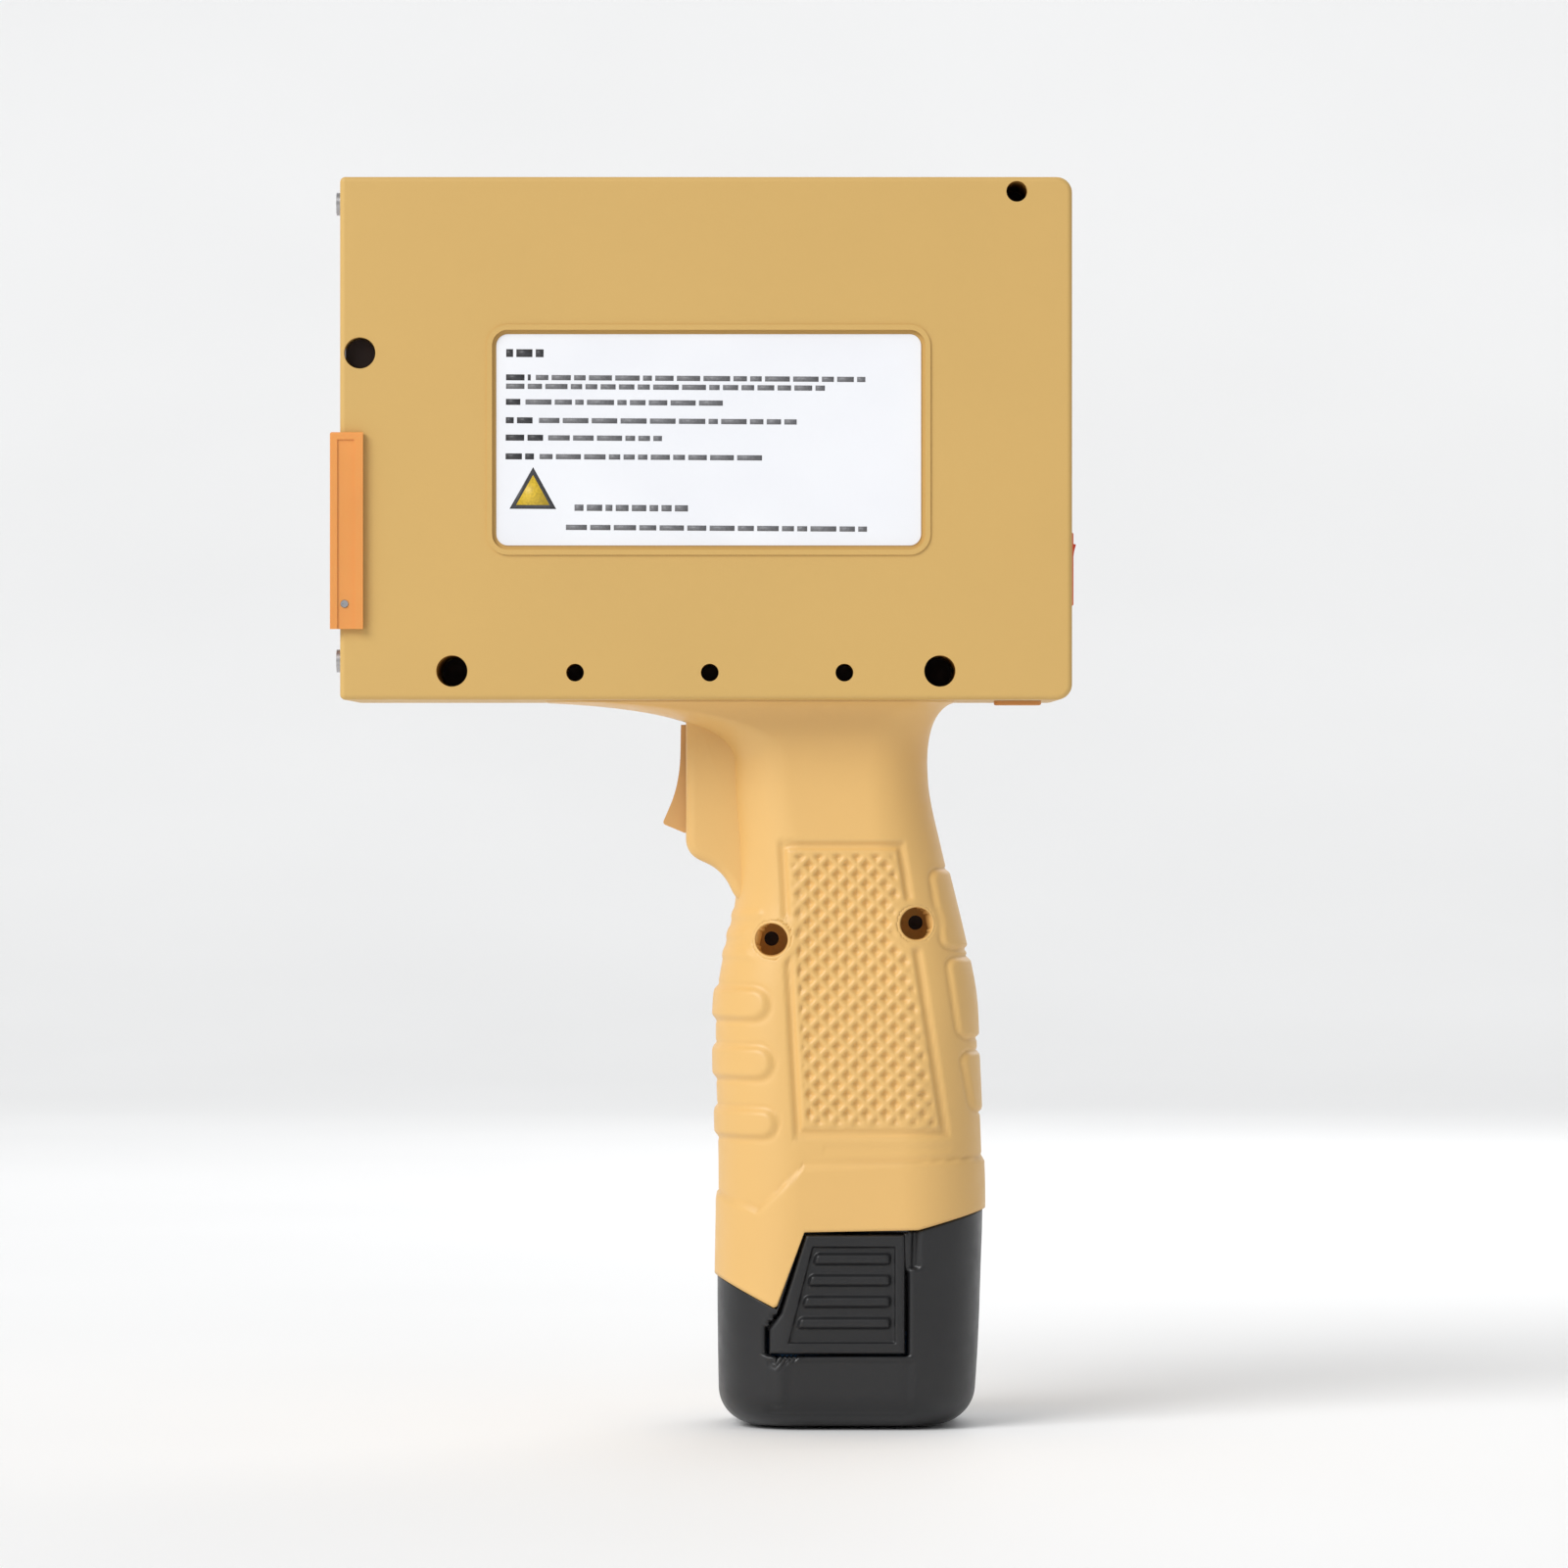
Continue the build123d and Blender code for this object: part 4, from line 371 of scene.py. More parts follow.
def panelRelief(x, z):
    # a channel round the panel, then rows of diamond pits: depth x (1 - smooth step of max(|a|, |b|)),
    # a and b being the offsets from the nearest pit's middle along the two leaning ridge directions
    rel = gripRelief
    outline = polyDistance(x, z, rel["panel"])
    ring = np.abs(outline + rel["panelGrooveWidth"] / 2)
    flat, rim = rel["channelEdge"]
    relief = -rel["panelGroove"] * (1 - smoothStep(flat, rel["panelGrooveWidth"] * rim, ring))
    pitch = rel["diamondPitch"]
    a = (x + z) / pitch
    b = (x - z) / pitch
    offA = np.abs(a - np.round(a)) * 2
    offB = np.abs(b - np.round(b)) * 2
    pit = 1 - smoothStep(*rel["pitEdge"], np.maximum(offA, offB))
    outer, inner = rel["insetEdge"]
    inside = smoothStep(-rel["diamondInset"] + outer, -rel["diamondInset"] + inner, outline)
    return relief - rel["diamondDepth"] * pit * inside


def crease(d, place, depth, width):
    # a soft channel beside an edge: depth x exp(-((d - place) / width)^2)
    return depth * np.exp(-((d - place) / width) ** 2)


def sideRelief(x, z):
    # panel + pads and ridges round the front + plates on the back strap + the stepped foot - one groove
    rel = gripRelief
    relief = panelRelief(x, z)
    for end, z0, z1 in rel["pads"]:
        d = roundBox(x, z, rel["padFront"], end, z0, z1, (z1 - z0) / 2 - rel["endRound"])
        relief = relief + rel["padProud"] * smoothStep(*rel["padEdge"], d)
        relief = relief - crease(d, *rel["padCrease"])
    for end, z0, z1 in rel["ridges"]:
        d = roundBox(x, z, rel["padFront"], end, z0, z1, (z1 - z0) / 2 - rel["endRound"])
        relief = relief + rel["ridgeProud"] * smoothStep(*rel["ridgeEdge"], d)
    for (xa, za), (xb, zb) in rel["straps"]:
        edge = xa + (xb - xa) * (za - z) / (za - zb)
        d = roundBox(x - edge, z, 0, 60, zb, za, rel["strapRound"])
        relief = relief + rel["strapProud"] * smoothStep(*rel["strapEdge"], d)
        relief = relief - crease(d, *rel["strapCrease"])
    line = np.array(rel["step"], dtype=float)
    below = np.interp(x, line[:, 0], line[:, 1]) - z
    relief = relief + rel["stepProud"] * smoothStep(*rel["stepEdge"], below)
    relief = relief - crease(below, *rel["stepCrease"])
    faint = np.abs(z - rel["grooveZ"]) + 3 * np.maximum(0, np.abs(x - sum(rel["grooveX"]) / 2)
                                                        - (rel["grooveX"][1] - rel["grooveX"][0]) / 2)
    return relief - rel["grooveDeep"] * (1 - smoothStep(*rel["grooveEdge"], faint))


def spread(stops, counts):
    # parameter values with a chosen count between each pair of stops
    runs = [np.linspace(a, b, n, endpoint=False) for a, b, n in zip(stops[:-1], stops[1:], counts)]
    return np.append(np.concatenate(runs), stops[-1])


gripWells = [{"x": 12.9, "z": 93.9, "radius": 3.1, "lip": 0.35, "floor": 6.4, "hole": 1.4},
             {"x": 40.8, "z": 97.0, "radius": 3.1, "lip": 0.35, "floor": 6.4, "hole": 1.4}]

wellProfile = {  # cuts at the mouth and skirt behind the skin, in mm, then the closed profile's heights
    "mouth": 0.8, "cuts": (0.06, 0.22), "skirt": (0.75, 0.8), "steps": 72,
    "share": [0.04, 0.9, 0.985, 1.0, 1.0, 0.99, 0.9, 0.0, 0.0, 0.04],
    "lift": [0.0, 0.0, 0.0, 0.04, 0.04, -0.02, -0.4, 0.0, 0.0, 0.0],
}


def openWells(x, z):
    # points of the skin inside a well's mouth: distance from its axis < radius + mouth share x lip
    hollow = np.zeros(x.shape, dtype=bool)
    for well in gripWells:
        hollow |= np.hypot(x - well["x"], z - well["z"]) < well["radius"] + well["lip"] * wellProfile["mouth"]
    return hollow


def formSide(x, z):
    # half width of the grip's plain form at X and Z: H - R + sqrt(R^2 - reach^2), reach being how far X
    # is past the end of the side flat
    table = smoothTable(gripForm["sections"], z)
    frontX, backX, halfY, radius = [table[..., i] for i in range(4)]
    reach = np.clip(np.maximum(frontX + radius - x, x - (backX - radius)), 0, radius)
    return halfY - radius + np.sqrt(np.maximum(radius**2 - reach**2, 0))


def wellLining(well):
    # a closed wall profile, in radius and in share of the way from the floor to the skin, carried
    # round the well's axis: Y = floor + share x (skin + lift - floor), so its mouth follows the skin
    form = wellProfile
    r, outer, hole = well["radius"], well["radius"] + well["lip"], well["hole"]
    (cutA, cutB), (skirtA, skirtB) = form["cuts"], form["skirt"]
    radial = np.array([r, r, r + cutA, r + cutB, outer, outer + skirtA, outer + skirtB, outer, hole, hole])
    share, lift = np.array(form["share"]), np.array(form["lift"])
    angle = np.linspace(0, 2 * math.pi, form["steps"], endpoint=False)[:, None]
    x = well["x"] + radial[None, :] * np.cos(angle)
    z = well["z"] + radial[None, :] * np.sin(angle)
    y = well["floor"] + share[None, :] * (formSide(x, z) + lift[None, :] - well["floor"])
    points = np.stack([x, -y, z], axis=-1).reshape(-1, 3)
    rows, cols = x.shape
    a = np.arange(rows)[:, None] * cols
    b = np.roll(np.arange(rows), -1)[:, None] * cols
    c = np.arange(cols)[None, :]
    d = np.roll(np.arange(cols), -1)[None, :]
    return points, np.stack([a + c, a + d, b + d, b + c], axis=-1).reshape(-1, 4)


def gripHalf(name, side, body):
    # surface over u, round the half section, and v, up the grip: straight up the stations to the neck,
    # then P = (1-k)^2 neck + 2k(1-k) bend + k^2 flange, with the relief added along the normal
    form = gripForm
    u = spread([0, 1, 2, 3, 4, 5], form["columns"])[None, :]
    vLow = spread([0, 0.25, 0.84, 1.0], form["rows"])[:, None]
    x = np.full((len(vLow), u.shape[1]), form["startX"])
    for _ in range(form["rounds"]):  # the joint line's height depends on X, so the rounds settle both
        base = splitHeight(x)
        z = base + vLow * (form["neckTop"] - base)
        table = smoothTable(form["sections"], z)
        x, y = sectionPoint(np.broadcast_to(u, x.shape), *[table[..., i] for i in range(4)])
    relief = sideRelief(x, z)
    relief = relief * (1 - smoothStep(*form["reliefFade"], z))
    if side < 0:  # the skin is plain round the wells' mouths
        for well in gripWells:
            relief = relief * smoothStep(*form["wellPlain"], np.hypot(x - well["x"], z - well["z"]))
    nx = np.gradient(x, axis=1)
    ny = np.gradient(y, axis=1)
    length = np.maximum(np.hypot(nx, ny), 1e-9)
    outX, outY = -ny / length, nx / length
    # relief fades where it would cross the joint face in the middle of the front and back
    x = x + outX * relief
    y = np.maximum(y + outY * relief * smoothStep(0.0, form["jointFade"], y), 0)
    hollow = np.zeros(x.shape, dtype=bool)
    if side < 0:
        hollow = openWells(x, z)
    neck = smoothTable(form["sections"], np.full((1, u.shape[1]), form["neckTop"]))
    neckX, neckY = sectionPoint(u, *[neck[..., i] for i in range(4)])
    flange = (form["flangeX"][0], form["flangeX"][1], form["flangeHalf"], form["flangeCorner"])
    full = np.ones_like(u)
    flangeX, flangeY = sectionPoint(u, *[full * c for c in flange])
    k = np.linspace(0, 1, form["flareRows"])[1:, None]
    hollow = np.vstack([hollow, np.zeros((len(k), u.shape[1]), dtype=bool)])
    flareX = (1 - k)**2 * neckX + 2 * k * (1 - k) * neckX + k**2 * flangeX
    flareY = (1 - k)**2 * neckY + 2 * k * (1 - k) * neckY + k**2 * flangeY
    bend = form["flangeZ"] - form["flareBendDrop"]
    flareZ = (1 - k)**2 * form["neckTop"] + 2 * k * (1 - k) * bend + k**2 * form["flangeZ"]
    x = np.vstack([x, flareX])
    y = np.vstack([y, flareY])
    z = np.vstack([z, np.broadcast_to(flareZ, flareX.shape)])
    points = np.stack([x, side * y, z], axis=-1).reshape(-1, 3)
    quads = gridQuads(x.shape[0], x.shape[1])
    mid = points[quads].mean(axis=1)
    cut = form["slotCut"]
    slot = ((mid[:, 2] > cut["low"]) & (mid[:, 2] < cut["high"])
            & (np.abs(mid[:, 1]) < cut["half"]) & (mid[:, 0] < cut["back"]))
    quads = quads[~slot & ~hollow.ravel()[quads].any(axis=1)]
    if side > 0:
        quads = quads[:, ::-1]
    piece = meshPiece(name, points * mm, quads, body, "gripSand")
    return thicken(piece, form["wall"])


guardForm = {  # block round the trigger, in X and Z mm
    "outline": [(-3.7, 139.5), (-3.7, 110.4), (3.4, 107.1), (6.5, 100.4), (16, 98.5), (16, 139.5)],
    "corners": [3.0, 3.0, 3.4, 3.4, 3.0, 3.0], "slotHalf": 6.4, "half": 11.0, "round": 2.0,
    "floorTop": 113.0, "floorLap": 0.4, "floorEdge": 0.05,
}


def roundedOutline(corners, cuts, steps=9):
    # each corner C becomes the curve (1-t)^2 A + 2t(1-t) C + t^2 B, A and B lying on its two edges
    c = np.array(corners, dtype=float)
    before, after = np.roll(c, 1, axis=0) - c, np.roll(c, -1, axis=0) - c
    reach = np.array(cuts)[:, None]
    a = c + before / np.linalg.norm(before, axis=1, keepdims=True) * reach
    b = c + after / np.linalg.norm(after, axis=1, keepdims=True) * reach
    t = np.linspace(0, 1, steps)[None, :, None]
    return ((1 - t)**2 * a[:, None] + 2 * t * (1 - t) * c[:, None] + t**2 * b[:, None]).reshape(-1, 2)


def slab(outline, y0, y1, edge):
    # outline carried along Y from y0 to y1; near y1 it is drawn in by edge - edge sin(t) as y turns
    # through a quarter circle, and both ends close on their middles
    ahead, behind = np.roll(outline, -1, axis=0), np.roll(outline, 1, axis=0)
    along = ahead - behind
    normal = np.stack([along[:, 1], -along[:, 0]], axis=1)
    normal /= np.maximum(np.linalg.norm(normal, axis=1, keepdims=True), 1e-9)
    t = np.linspace(0, math.pi / 2, 9)
    depth = np.concatenate(([0.0], edge * (1 - np.cos(t))))
    ys = np.concatenate(([y0], y1 - edge + edge * np.sin(t)))
    loops = outline[None] - normal[None] * depth[:, None, None]
    heights = np.broadcast_to(ys[:, None], loops.shape[:2])
    grid = np.stack([loops[..., 0], heights, loops[..., 1]], axis=-1)
    n, rows = len(outline), len(ys)
    middle = outline.mean(axis=0)
    points = np.vstack([grid.reshape(-1, 3), [middle[0], y0, middle[1]], [middle[0], y1, middle[1]]])
    ring = np.arange(n)
    caps = np.vstack([np.stack([np.full(n, rows * n), ring, np.roll(ring, -1)], axis=-1),
                      np.stack([np.full(n, rows * n + 1), np.roll(ring, -1) + (rows - 1) * n,
                                ring + (rows - 1) * n], axis=-1)])
    return points, gridQuads(rows, n, closed=True)[:, ::-1], caps


def triggerGuard(name, side):
    # one half: a cheek beside the slot, and a floor under it whose outline is min(Z, floor top)
    form = guardForm
    outline = roundedOutline(form["outline"], form["corners"])
    cheek = slab(outline, form["slotHalf"], form["half"], form["round"])
    low = np.column_stack([outline[:, 0], np.minimum(outline[:, 1], form["floorTop"])])
    floor = slab(low, 0.0, form["slotHalf"] + form["floorLap"], form["floorEdge"])
    points = np.vstack([cheek[0], floor[0]])
    shift = len(cheek[0])
    quads = np.vstack([cheek[1], floor[1] + shift])
    caps = np.vstack([cheek[2], floor[2] + shift])
    points = points * np.array([1, side, 1])
    if side < 0:
        quads, caps = quads[:, ::-1], caps[:, ::-1]
    return meshPiece(name, points * mm, quads, "root", "gripSand", caps)


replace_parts(gripHalf("gripLabelSide", -1, "root"), "grip_label_side")
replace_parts(gripHalf("gripScreenSide", 1, "root"), "grip_screen_side")
triggerGuard("guardLabelSide", -1)
triggerGuard("guardScreenSide", 1)
for i, well in enumerate(gripWells):
    linePoints, lineQuads = wellLining(well)
    meshPiece("wellLining%d" % (i + 1), linePoints * mm, lineQuads, "root", "gripSand")
print("grip halves ready")


# battery pack

packForm = {
    "bottomRound": 7.0, "gap": 0.35, "wall": 1.6, "windowDeep": 2.6, "windowGap": 0.3,
    "latch": [(12.4, 14.4), (38.6, 14.4), (38.6, 37.45), (19.4, 37.45), (14.6, 22.2), (12.4, 19.2)],
    "slot": (39.6, 41.2, 30.8, 40.0), "slotDeep": 1.6,
    "panel": (12.3, 39.8, 3.0, 13.1), "panelDeep": 0.45, "pill": (12.6, 15.7, 4.0, 12.6), "pillProud": 0.5,
    "columns": [10, 28, 74, 32, 12], "rows": [9, 26, 84], "reliefFrom": (8.0, 12.0),
    "openInside": 0.28, "footMiddle": (27.3, 0.0, 0.0), "floorRings": (0.78, 0.02, 6),
    # each edge rises between these two distances from its outline
    "windowEdge": (0.3, -0.3), "slotEdge": (0.25, -0.25), "panelEdge": (0.2, -0.2),
    "pillEdge": (0.2, -0.6), "slotRound": 0.4, "panelRound": 0.8, "pillRound": 1.4,
    "startX": 25.0, "rounds": 6,
}


def footInset(z, radius):
    # how far a rounded bottom edge draws the section in: R - sqrt(R^2 - (R - z)^2) up to height R
    return radius - np.sqrt(np.maximum(radius**2 - np.maximum(radius - z, 0)**2, 0))


def packSide(x, z):
    # half width of the pack's form at X and Z: the side flat, or the corner circle beyond its ends
    table = smoothTable(gripForm["sections"], np.asarray(z, dtype=float))
    frontX, backX, halfY, radius = [table[..., i] for i in range(4)]
    inset = footInset(z, packForm["bottomRound"])
    r = np.maximum(radius - inset, 0.4)
    reach = np.maximum(frontX + inset + r - x, x - (backX - inset - r))
    reach = np.clip(reach, 0, r)
    return halfY - inset - r + np.sqrt(np.maximum(r**2 - reach**2, 0))


def latchDistance(x, z):
    # signed distance to the latch outline: the greatest of its straight sides, where the two leaning
    # ones meet in an inward corner and so give their smaller value
    (x0, z0), (x1, _), (_, z1), (xc, zc), (xb, zb), (xa, za) = packForm["latch"]
    lean = [((xb + (z - zb) * (xc - xb) / (zc - zb)) - x) * math.cos(math.atan2(xc - xb, zc - zb)),
            ((xa + (z - za) * (xb - xa) / (zb - za)) - x) * math.cos(math.atan2(xb - xa, zb - za))]
    return np.maximum.reduce([z0 - z, z - z1, x - x1, x0 - x, np.minimum(lean[0], lean[1])])


def packCase():
    # the form's ring carried from the foot to the joint line, left open behind the latches, then closed
    # by drawing the lowest ring in to the middle
    form = packForm
    halfU = spread([0, 1, 2, 3, 4, 5], form["columns"])
    u = np.concatenate([halfU, (halfU[::-1])[1:-1]])[None, :]
    sign = np.concatenate([np.ones(len(halfU)), -np.ones(len(halfU) - 2)])[None, :]
    v = spread([0, 0.05, 0.3, 1.0], form["rows"])[:, None]
    x = np.full((len(v), u.shape[1]), form["startX"])
    for _ in range(form["rounds"]):
        top = splitHeight(x) - form["gap"]
        z = v * top
        table = smoothTable(gripForm["sections"], z)
        inset = footInset(z, form["bottomRound"])
        x, y = sectionPoint(np.broadcast_to(u, x.shape), *[table[..., i] for i in range(4)], inset)
    side = smoothStep(*form["reliefFrom"], y)
    window = latchDistance(x, z) - form["windowGap"]
    relief = -form["windowDeep"] * smoothStep(*form["windowEdge"], window)
    slotX0, slotX1, slotZ0, slotZ1 = form["slot"]
    notch = smoothStep(*form["slotEdge"], roundBox(x, z, slotX0, slotX1, slotZ0, slotZ1, form["slotRound"]))
    relief = relief - form["slotDeep"] * notch * smoothStep(0.0, form["windowEdge"][0], window)
    panelX0, panelX1, panelZ0, panelZ1 = form["panel"]
    panel = roundBox(x, z, panelX0, panelX1, panelZ0, panelZ1, form["panelRound"])
    relief = relief - form["panelDeep"] * smoothStep(*form["panelEdge"], panel)
    pillX0, pillX1, pillZ0, pillZ1 = form["pill"]
    pill = roundBox(x, z, pillX0, pillX1, pillZ0, pillZ1, form["pillRound"])
    relief = relief + form["pillProud"] * smoothStep(*form["pillEdge"], pill)
    y = y + relief * side
    skin = np.stack([x, sign * y, z], axis=-1)
    foot = skin[0]
    middle = np.array(form["footMiddle"])
    inner = np.linspace(*form["floorRings"])[:, None, None]
    floor = middle + (foot - middle)[None] * inner
    grid = np.concatenate([floor[::-1], skin], axis=0)
    behind = (window < -form["openInside"]) & (y > form["reliefFrom"][0])
    opened = np.vstack([np.zeros((len(floor), x.shape[1]), dtype=bool), behind])
    count = grid.shape[1]
    points = np.vstack([grid.reshape(-1, 3), middle])
    quads = gridQuads(grid.shape[0], count, closed=True)
    quads = quads[~opened.ravel()[quads].any(axis=1)]
    ring = np.arange(count)
    fan = np.stack([np.full(count, len(points) - 1), np.roll(ring, -1), ring], axis=-1)
    piece = meshPiece("packCase", points * mm, quads[:, ::-1], "battery", "packBlack",
                      fan[:, ::-1])
    return thicken(piece, form["wall"])


latchForm = {
    "leftEdge": [(14.4, 12.4), (19.2, 12.4), (22.2, 14.6), (37.45, 19.4)], "right": 38.6,
    "low": 14.4, "high": 37.45, "edgeRound": 0.8, "back": 1.0, "proud": 0.1,
    "pocket": [(16.2, 16.6), (36.6, 16.6), (36.6, 35.0), (20.8, 35.0)], "pocketDeep": 0.75,
    "ribTop": 34.0, "ribPitch": 4.1, "ribHeight": 2.6, "ribs": 4, "ribProud": 0.85,
    "ribRound": 0.9, "ribEnds": (0.7, 35.9), "columns": 112, "rows": 128,
    "pocketEdge": (0.22, -0.22), "ribEdge": (0.15, -0.85),
}


def latchButton(name, side, body):
    # patch over (a, b): z runs up with b, x runs from the slanted left edge to the right one with a;
    # Y = form + proud - drop + relief, where the drop at the border is R - sqrt(R^2 - (R - d)^2) and the
    # relief is a pocket with cross ribs
    form = latchForm
    a = np.linspace(0, 1, form["columns"])[None, :]
    b = np.linspace(0, 1, form["rows"])[:, None]
    z = form["low"] + b * (form["high"] - form["low"]) + 0 * a
    edge = np.array(form["leftEdge"])
    left = np.interp(z, edge[:, 0], edge[:, 1])
    x = left + a * (form["right"] - left)
    border = -latchDistance(x, z)
    t = np.clip(form["edgeRound"] - border, 0, form["edgeRound"])
    drop = form["edgeRound"] - np.sqrt(form["edgeRound"]**2 - t**2 + 1e-9)
    pocket = polyDistance(x, z, form["pocket"])
    relief = -form["pocketDeep"] * smoothStep(*form["pocketEdge"], pocket)
    (slantX0, slantZ0), _, _, (slantX1, slantZ1) = form["pocket"]
    slant = np.interp(z, [slantZ0, slantZ1], [slantX0, slantX1])
    ribStart, ribEnd = form["ribEnds"]
    for i in range(form["ribs"]):
        top = form["ribTop"] - i * form["ribPitch"]
        rib = roundBox(x - slant, z, ribStart, ribEnd - slant, top - form["ribHeight"], top,
                       form["ribRound"])
        relief = relief + form["ribProud"] * smoothStep(*form["ribEdge"], rib)
    y = packSide(x, z) + form["proud"] - drop + relief
    grid = np.stack([x, side * y, z], axis=-1)
    quads = gridQuads(grid.shape[0], grid.shape[1])
    if side > 0:
        quads = quads[:, ::-1]
    piece = meshPiece(name, grid.reshape(-1, 3) * mm, quads, body, "latchBlack")
    return thicken(piece, form["back"])


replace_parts(packCase(), "battery_case")
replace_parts(latchButton("latchLabelSide", -1, "latch_label"), "latch_label_side")
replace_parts(latchButton("latchScreenSide", 1, "latch_screen"), "latch_screen_side")
print("battery pack ready")


# printing on the label: plain grey dashes in rows, a plain triangle, no lettering

labelPrint = {
    "rows": [  # share of the label's height, first and last share of its width, dash height mm, dark
        (0.905, 0.022, 0.110, 1.5, True), (0.790, 0.022, 0.080, 1.15, True),
        (0.790, 0.092, 0.868, 1.0, False), (0.748, 0.022, 0.773, 1.0, False),
        (0.674, 0.022, 0.056, 1.15, True), (0.674, 0.068, 0.535, 1.0, False),
        (0.587, 0.022, 0.090, 1.15, True), (0.587, 0.100, 0.707, 1.0, False),
        (0.505, 0.022, 0.110, 1.15, True), (0.505, 0.122, 0.390, 1.0, False),
        (0.416, 0.022, 0.090, 1.15, True), (0.416, 0.102, 0.634, 1.0, False),
        (0.175, 0.185, 0.455, 1.2, False), (0.082, 0.165, 0.874, 1.0, False)],
    "wordRange": (1.6, 5.2), "space": 0.62, "proud": 0.012, "seed": 7,
    "triangle": (0.032, 0.142, 0.168, 0.366),  # left, right share of the width, low, high of the height
    "tilt": -0.35, "words": 60, "headingTall": 1.1, "headingShare": 0.7, "shortest": 0.5, "under": 0.05,
    "triangleHole": 0.72, "triangleFill": 0.76,
}


def dashBoxes(x0, x1, z0, z1, y0, y1):
    # one closed box per dash, all at once: eight corners and six quads each
    n = len(x0)
    cx = np.stack([x0, x1, x1, x0, x0, x1, x1, x0], axis=1)
    cz = np.stack([z0, z0, z1, z1, z0, z0, z1, z1], axis=1)
    cy = np.tile([y0, y0, y0, y0, y1, y1, y1, y1], (n, 1))
    points = np.stack([cx, cy, cz], axis=-1).reshape(-1, 3)
    faces = np.array([[0, 1, 2, 3], [7, 6, 5, 4], [4, 5, 1, 0], [5, 6, 2, 1], [6, 7, 3, 2], [7, 4, 0, 3]])
    quads = (faces[None] + 8 * np.arange(n)[:, None, None]).reshape(-1, 4)
    return points, quads


def turnAbout(points, middle, degrees):
    # X' = dX cos(a) - dZ sin(a) and Z' = dX sin(a) + dZ cos(a) about the label's middle
    a = math.radians(degrees)
    dx, dz = points[:, 0] - middle[0], points[:, 2] - middle[2]
    turned = points.copy()
    turned[:, 0] = middle[0] + dx * math.cos(a) - dz * math.sin(a)
    turned[:, 2] = middle[2] + dx * math.sin(a) + dz * math.cos(a)
    return turned


def printLabel():
    # dashes laid end to end with drawn lengths, start + sum of (length + space), cut off at the row's end
    form = labelPrint
    low, high = [np.array(c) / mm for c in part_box("rating_label")]
    width, height = high[0] - low[0], high[2] - low[2]
    rng = np.random.RandomState(form["seed"])
    dark, pale = [], []
    for share, start, end, tall, isDark in form["rows"]:
        words = rng.uniform(*form["wordRange"], form["words"])
        words = words * (form["headingShare"] if tall > form["headingTall"] else 1.0)
        starts = np.concatenate(([0], np.cumsum(words + form["space"])[:-1])) + low[0] + start * width
        stops = np.minimum(starts + words, low[0] + end * width)
        keep = stops - starts > form["shortest"]
        mid = low[2] + share * height
        rows = np.stack([starts[keep], stops[keep], np.full(keep.sum(), mid - tall / 2),
                         np.full(keep.sum(), mid + tall / 2)], axis=1)
        (dark if isDark else pale).append(rows)
    middle = (low + high) / 2
    for name, groups, paint in (("labelHeadings", dark, "inkDark"), ("labelLines", pale, "inkGrey")):
        rows = np.vstack(groups)
        points, quads = dashBoxes(rows[:, 0], rows[:, 1], rows[:, 2], rows[:, 3],
                                  low[1] - form["proud"], low[1] + form["under"])
        meshPiece(name, turnAbout(points, middle, form["tilt"]) * mm, quads, "root", paint)
    left, right, base, tip = form["triangle"]
    x0, x1 = low[0] + left * width, low[0] + right * width
    z0, z1 = low[2] + base * height, low[2] + tip * height
    outer = np.array([[x0, z0], [x1, z0], [(x0 + x1) / 2, z1]])
    inner = outer.mean(axis=0) + (outer - outer.mean(axis=0)) * form["triangleHole"]
    flat = np.vstack([outer, inner])
    points = np.vstack([np.column_stack([flat[:, 0], np.full(6, y), flat[:, 1]])
                        for y in (low[1] - form["proud"], low[1] + form["under"])])
    i = np.arange(3)
    j = (i + 1) % 3
    quads = np.vstack([np.column_stack([i, j, j + 3, i + 3]), np.column_stack([i + 6, i + 9, j + 9, j + 6]),
                       np.column_stack([i, i + 6, j + 6, j]), np.column_stack([i + 3, j + 3, j + 9, i + 9])])
    meshPiece("labelTriangle", turnAbout(points, middle, form["tilt"]) * mm, quads, "root", "inkDark")
    fill = outer.mean(axis=0) + (outer - outer.mean(axis=0)) * form["triangleFill"]
    points = np.vstack([np.column_stack([fill[:, 0], np.full(3, y), fill[:, 1]])
                        for y in (low[1] - form["proud"] / 2, low[1] + form["under"])])
    quads = np.column_stack([i, i + 3, j + 3, j])
    meshPiece("labelTriangleFill", turnAbout(points, middle, form["tilt"]) * mm, quads, "root",
              "inkYellow", np.array([[0, 1, 2], [5, 4, 3]]))


def printedInk(name, colour):
    # printed ink with a faintly uneven lay-down
    mat, tree, bsdf = newMaterial(name)
    spots = objectNoise(tree, 2200, 3.0)
    tint = ramp(tree, spots.outputs["Fac"], shade(colour, 0.85), shade(colour, 1.25))
    tree.links.new(tint.outputs["Color"], bsdf.inputs["Base Color"])
    bsdf.inputs["Roughness"].default_value = 0.45
    return mat


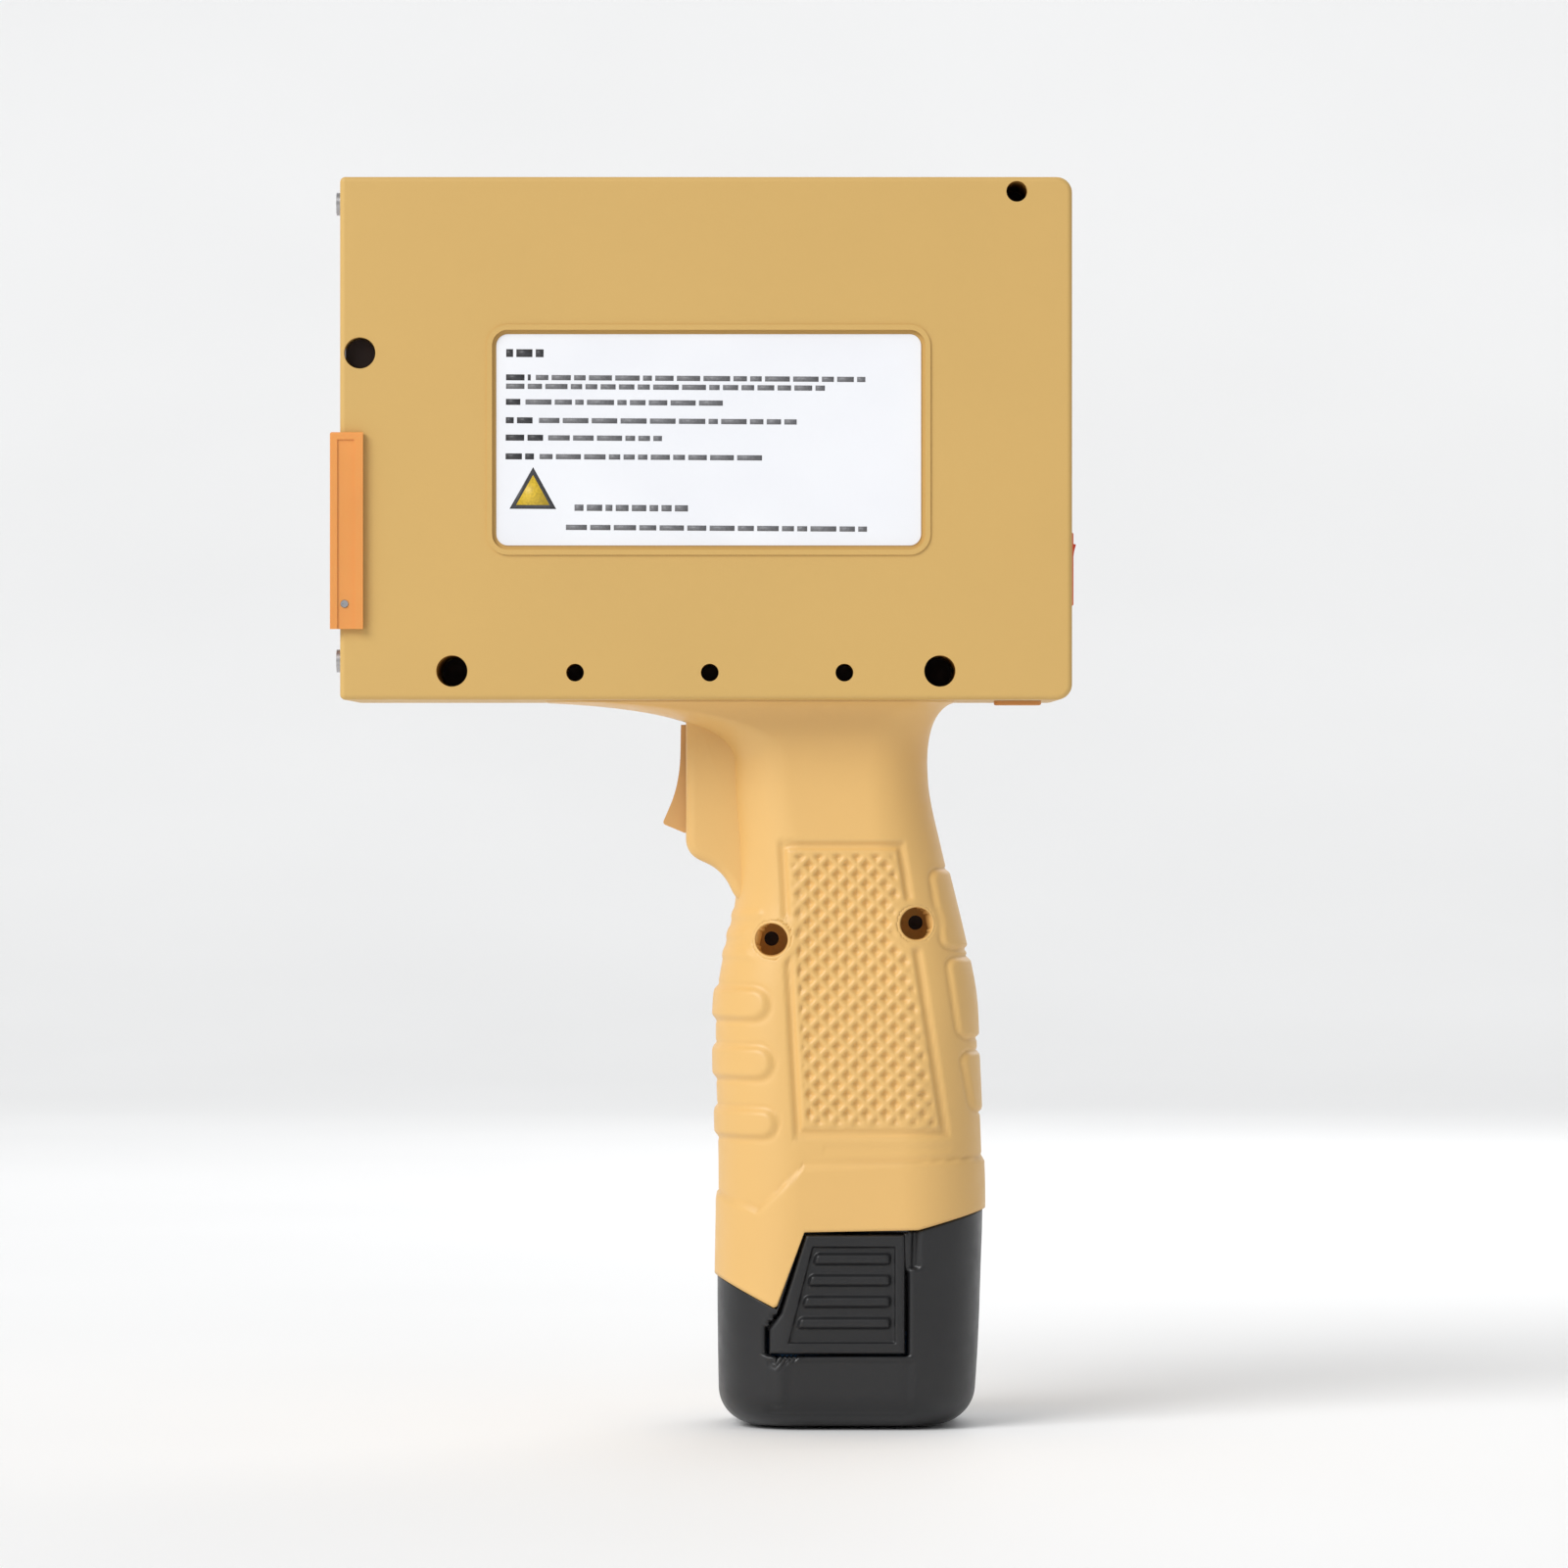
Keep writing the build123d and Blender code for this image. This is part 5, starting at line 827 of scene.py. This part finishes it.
def labelPaper():
    # satin film label: off-white with fine fibre bump and a cooler tone in slow patches
    mat, tree, bsdf = newMaterial("labelFilm")
    fibre = objectNoise(tree, 1800, 3.0, 0.6)
    patch = objectNoise(tree, 30, 2.0)
    tint = ramp(tree, patch.outputs["Fac"], (0.80, 0.81, 0.85), (0.86, 0.87, 0.90))
    tree.links.new(tint.outputs["Color"], bsdf.inputs["Base Color"])
    gloss = ramp(tree, fibre.outputs["Fac"], (0.34,) * 3, (0.44,) * 3)
    tree.links.new(gloss.outputs["Color"], bsdf.inputs["Roughness"])
    bump = tree.nodes.new("ShaderNodeBump")
    bump.inputs["Strength"].default_value = 0.06
    bump.inputs["Distance"].default_value = 0.00003
    tree.links.new(fibre.outputs["Fac"], bump.inputs["Height"])
    tree.links.new(bump.outputs["Normal"], bsdf.inputs["Normal"])
    return mat


paints["inkDark"] = printedInk("inkDark", (0.04, 0.04, 0.045))
paints["inkGrey"] = printedInk("inkGrey", (0.16, 0.16, 0.17))
paints["inkYellow"] = printedInk("inkYellow", (0.62, 0.42, 0.03))
labelMesh = nodes["rating_label"].data
labelMesh.materials.clear()
labelMesh.materials.append(labelPaper())
printLabel()
print("label ready")


# floor, light and camera

def studioFloor():
    # pale sweep: flat floor that curves up behind the object into a wall, as a profile along X
    floor = {"width": 12.0, "front": -5.0, "back": 4.0, "rise": 6.0, "bend": 2.5, "drop": 0.0005}
    flat = np.array([[floor["front"], -floor["drop"]], [floor["back"] - floor["bend"], -floor["drop"]]])
    a = np.linspace(0, math.pi / 2, 24)[1:]
    arc = np.column_stack([floor["back"] - floor["bend"] + floor["bend"] * np.sin(a),
                           floor["bend"] - floor["bend"] * np.cos(a) - floor["drop"]])
    top = np.array([[floor["back"], floor["rise"]]])
    profile = np.vstack([flat, arc, top])
    xs = np.array([-floor["width"] / 2, floor["width"] / 2])
    grid = np.stack([np.broadcast_to(xs[None, :], (len(profile), 2)),
                     np.broadcast_to(profile[:, :1], (len(profile), 2)),
                     np.broadcast_to(profile[:, 1:], (len(profile), 2))], axis=-1)
    mesh = bpy.data.meshes.new("studioFloor")
    mesh.from_pydata(grid.reshape(-1, 3).tolist(), [], gridQuads(len(profile), 2)[:, ::-1].tolist())
    mesh.polygons.foreach_set("use_smooth", [True] * len(mesh.polygons))
    mat, tree, bsdf = newMaterial("paleSweep")
    tone = objectNoise(tree, 3, 2.0)
    tint = ramp(tree, tone.outputs["Fac"], (0.90, 0.90, 0.90), (0.93, 0.93, 0.93))
    tree.links.new(tint.outputs["Color"], bsdf.inputs["Base Color"])
    bsdf.inputs["Roughness"].default_value = 0.7
    mesh.materials.append(mat)
    obj = bpy.data.objects.new("studioFloor", mesh)
    bpy.context.scene.collection.objects.link(obj)


def areaLight(name, place, aim, size, power):
    # a rectangular light whose -Z axis points along aim - place
    data = bpy.data.lights.new(name, "AREA")
    data.shape = "RECTANGLE"
    data.size, data.size_y = size
    data.energy = power
    obj = bpy.data.objects.new(name, data)
    obj.location = place
    obj.rotation_euler = (Vector(aim) - Vector(place)).to_track_quat("-Z", "Y").to_euler()
    bpy.context.scene.collection.objects.link(obj)


lights = {
    "keySoftbox": ((-0.9, -1.0, 1.0), (0.0, 0.0, 0.13), (0.7, 0.7), 5.5),
    "backSoftbox": ((0.4, 1.0, 0.7), (0.0, 0.0, 0.13), (0.8, 0.8), 3.0),
}
sunLook = {"from": (-0.75, -0.8, 0.8), "strength": 1.5, "angle": 38}
for name, (place, aim, size, power) in lights.items():
    areaLight(name, place, aim, size, power)
sun = bpy.data.lights.new("windowSun", "SUN")
sun.energy = sunLook["strength"]
sun.angle = math.radians(sunLook["angle"])
sunObj = bpy.data.objects.new("windowSun", sun)
sunObj.rotation_euler = (-Vector(sunLook["from"])).to_track_quat("-Z", "Y").to_euler()
bpy.context.scene.collection.objects.link(sunObj)
studioFloor()
airLook = {"colour": (0.98, 0.99, 1.0, 1), "strength": 0.5}
world = bpy.data.worlds.new("studioAir")
world.use_nodes = True
world.node_tree.nodes["Background"].inputs["Color"].default_value = airLook["colour"]
world.node_tree.nodes["Background"].inputs["Strength"].default_value = airLook["strength"]
bpy.context.scene.world = world

view = {"middle": (0.0153, 0.1239), "distance": 1.5, "faceY": -0.029, "field": 0.2997}
cam = bpy.data.cameras.new("camera")
cam.sensor_width = 36.0
cam.lens = 36.0 * (view["distance"] + view["faceY"]) / view["field"]
camObj = bpy.data.objects.new("camera", cam)
camObj.location = (view["middle"][0], -view["distance"], view["middle"][1])
camObj.rotation_euler = (math.pi / 2, 0, 0)
bpy.context.scene.collection.objects.link(camObj)
bpy.context.scene.camera = camObj
bpy.context.scene.view_settings.view_transform = "Standard"
bpy.context.view_layer.update()
print("stage ready")
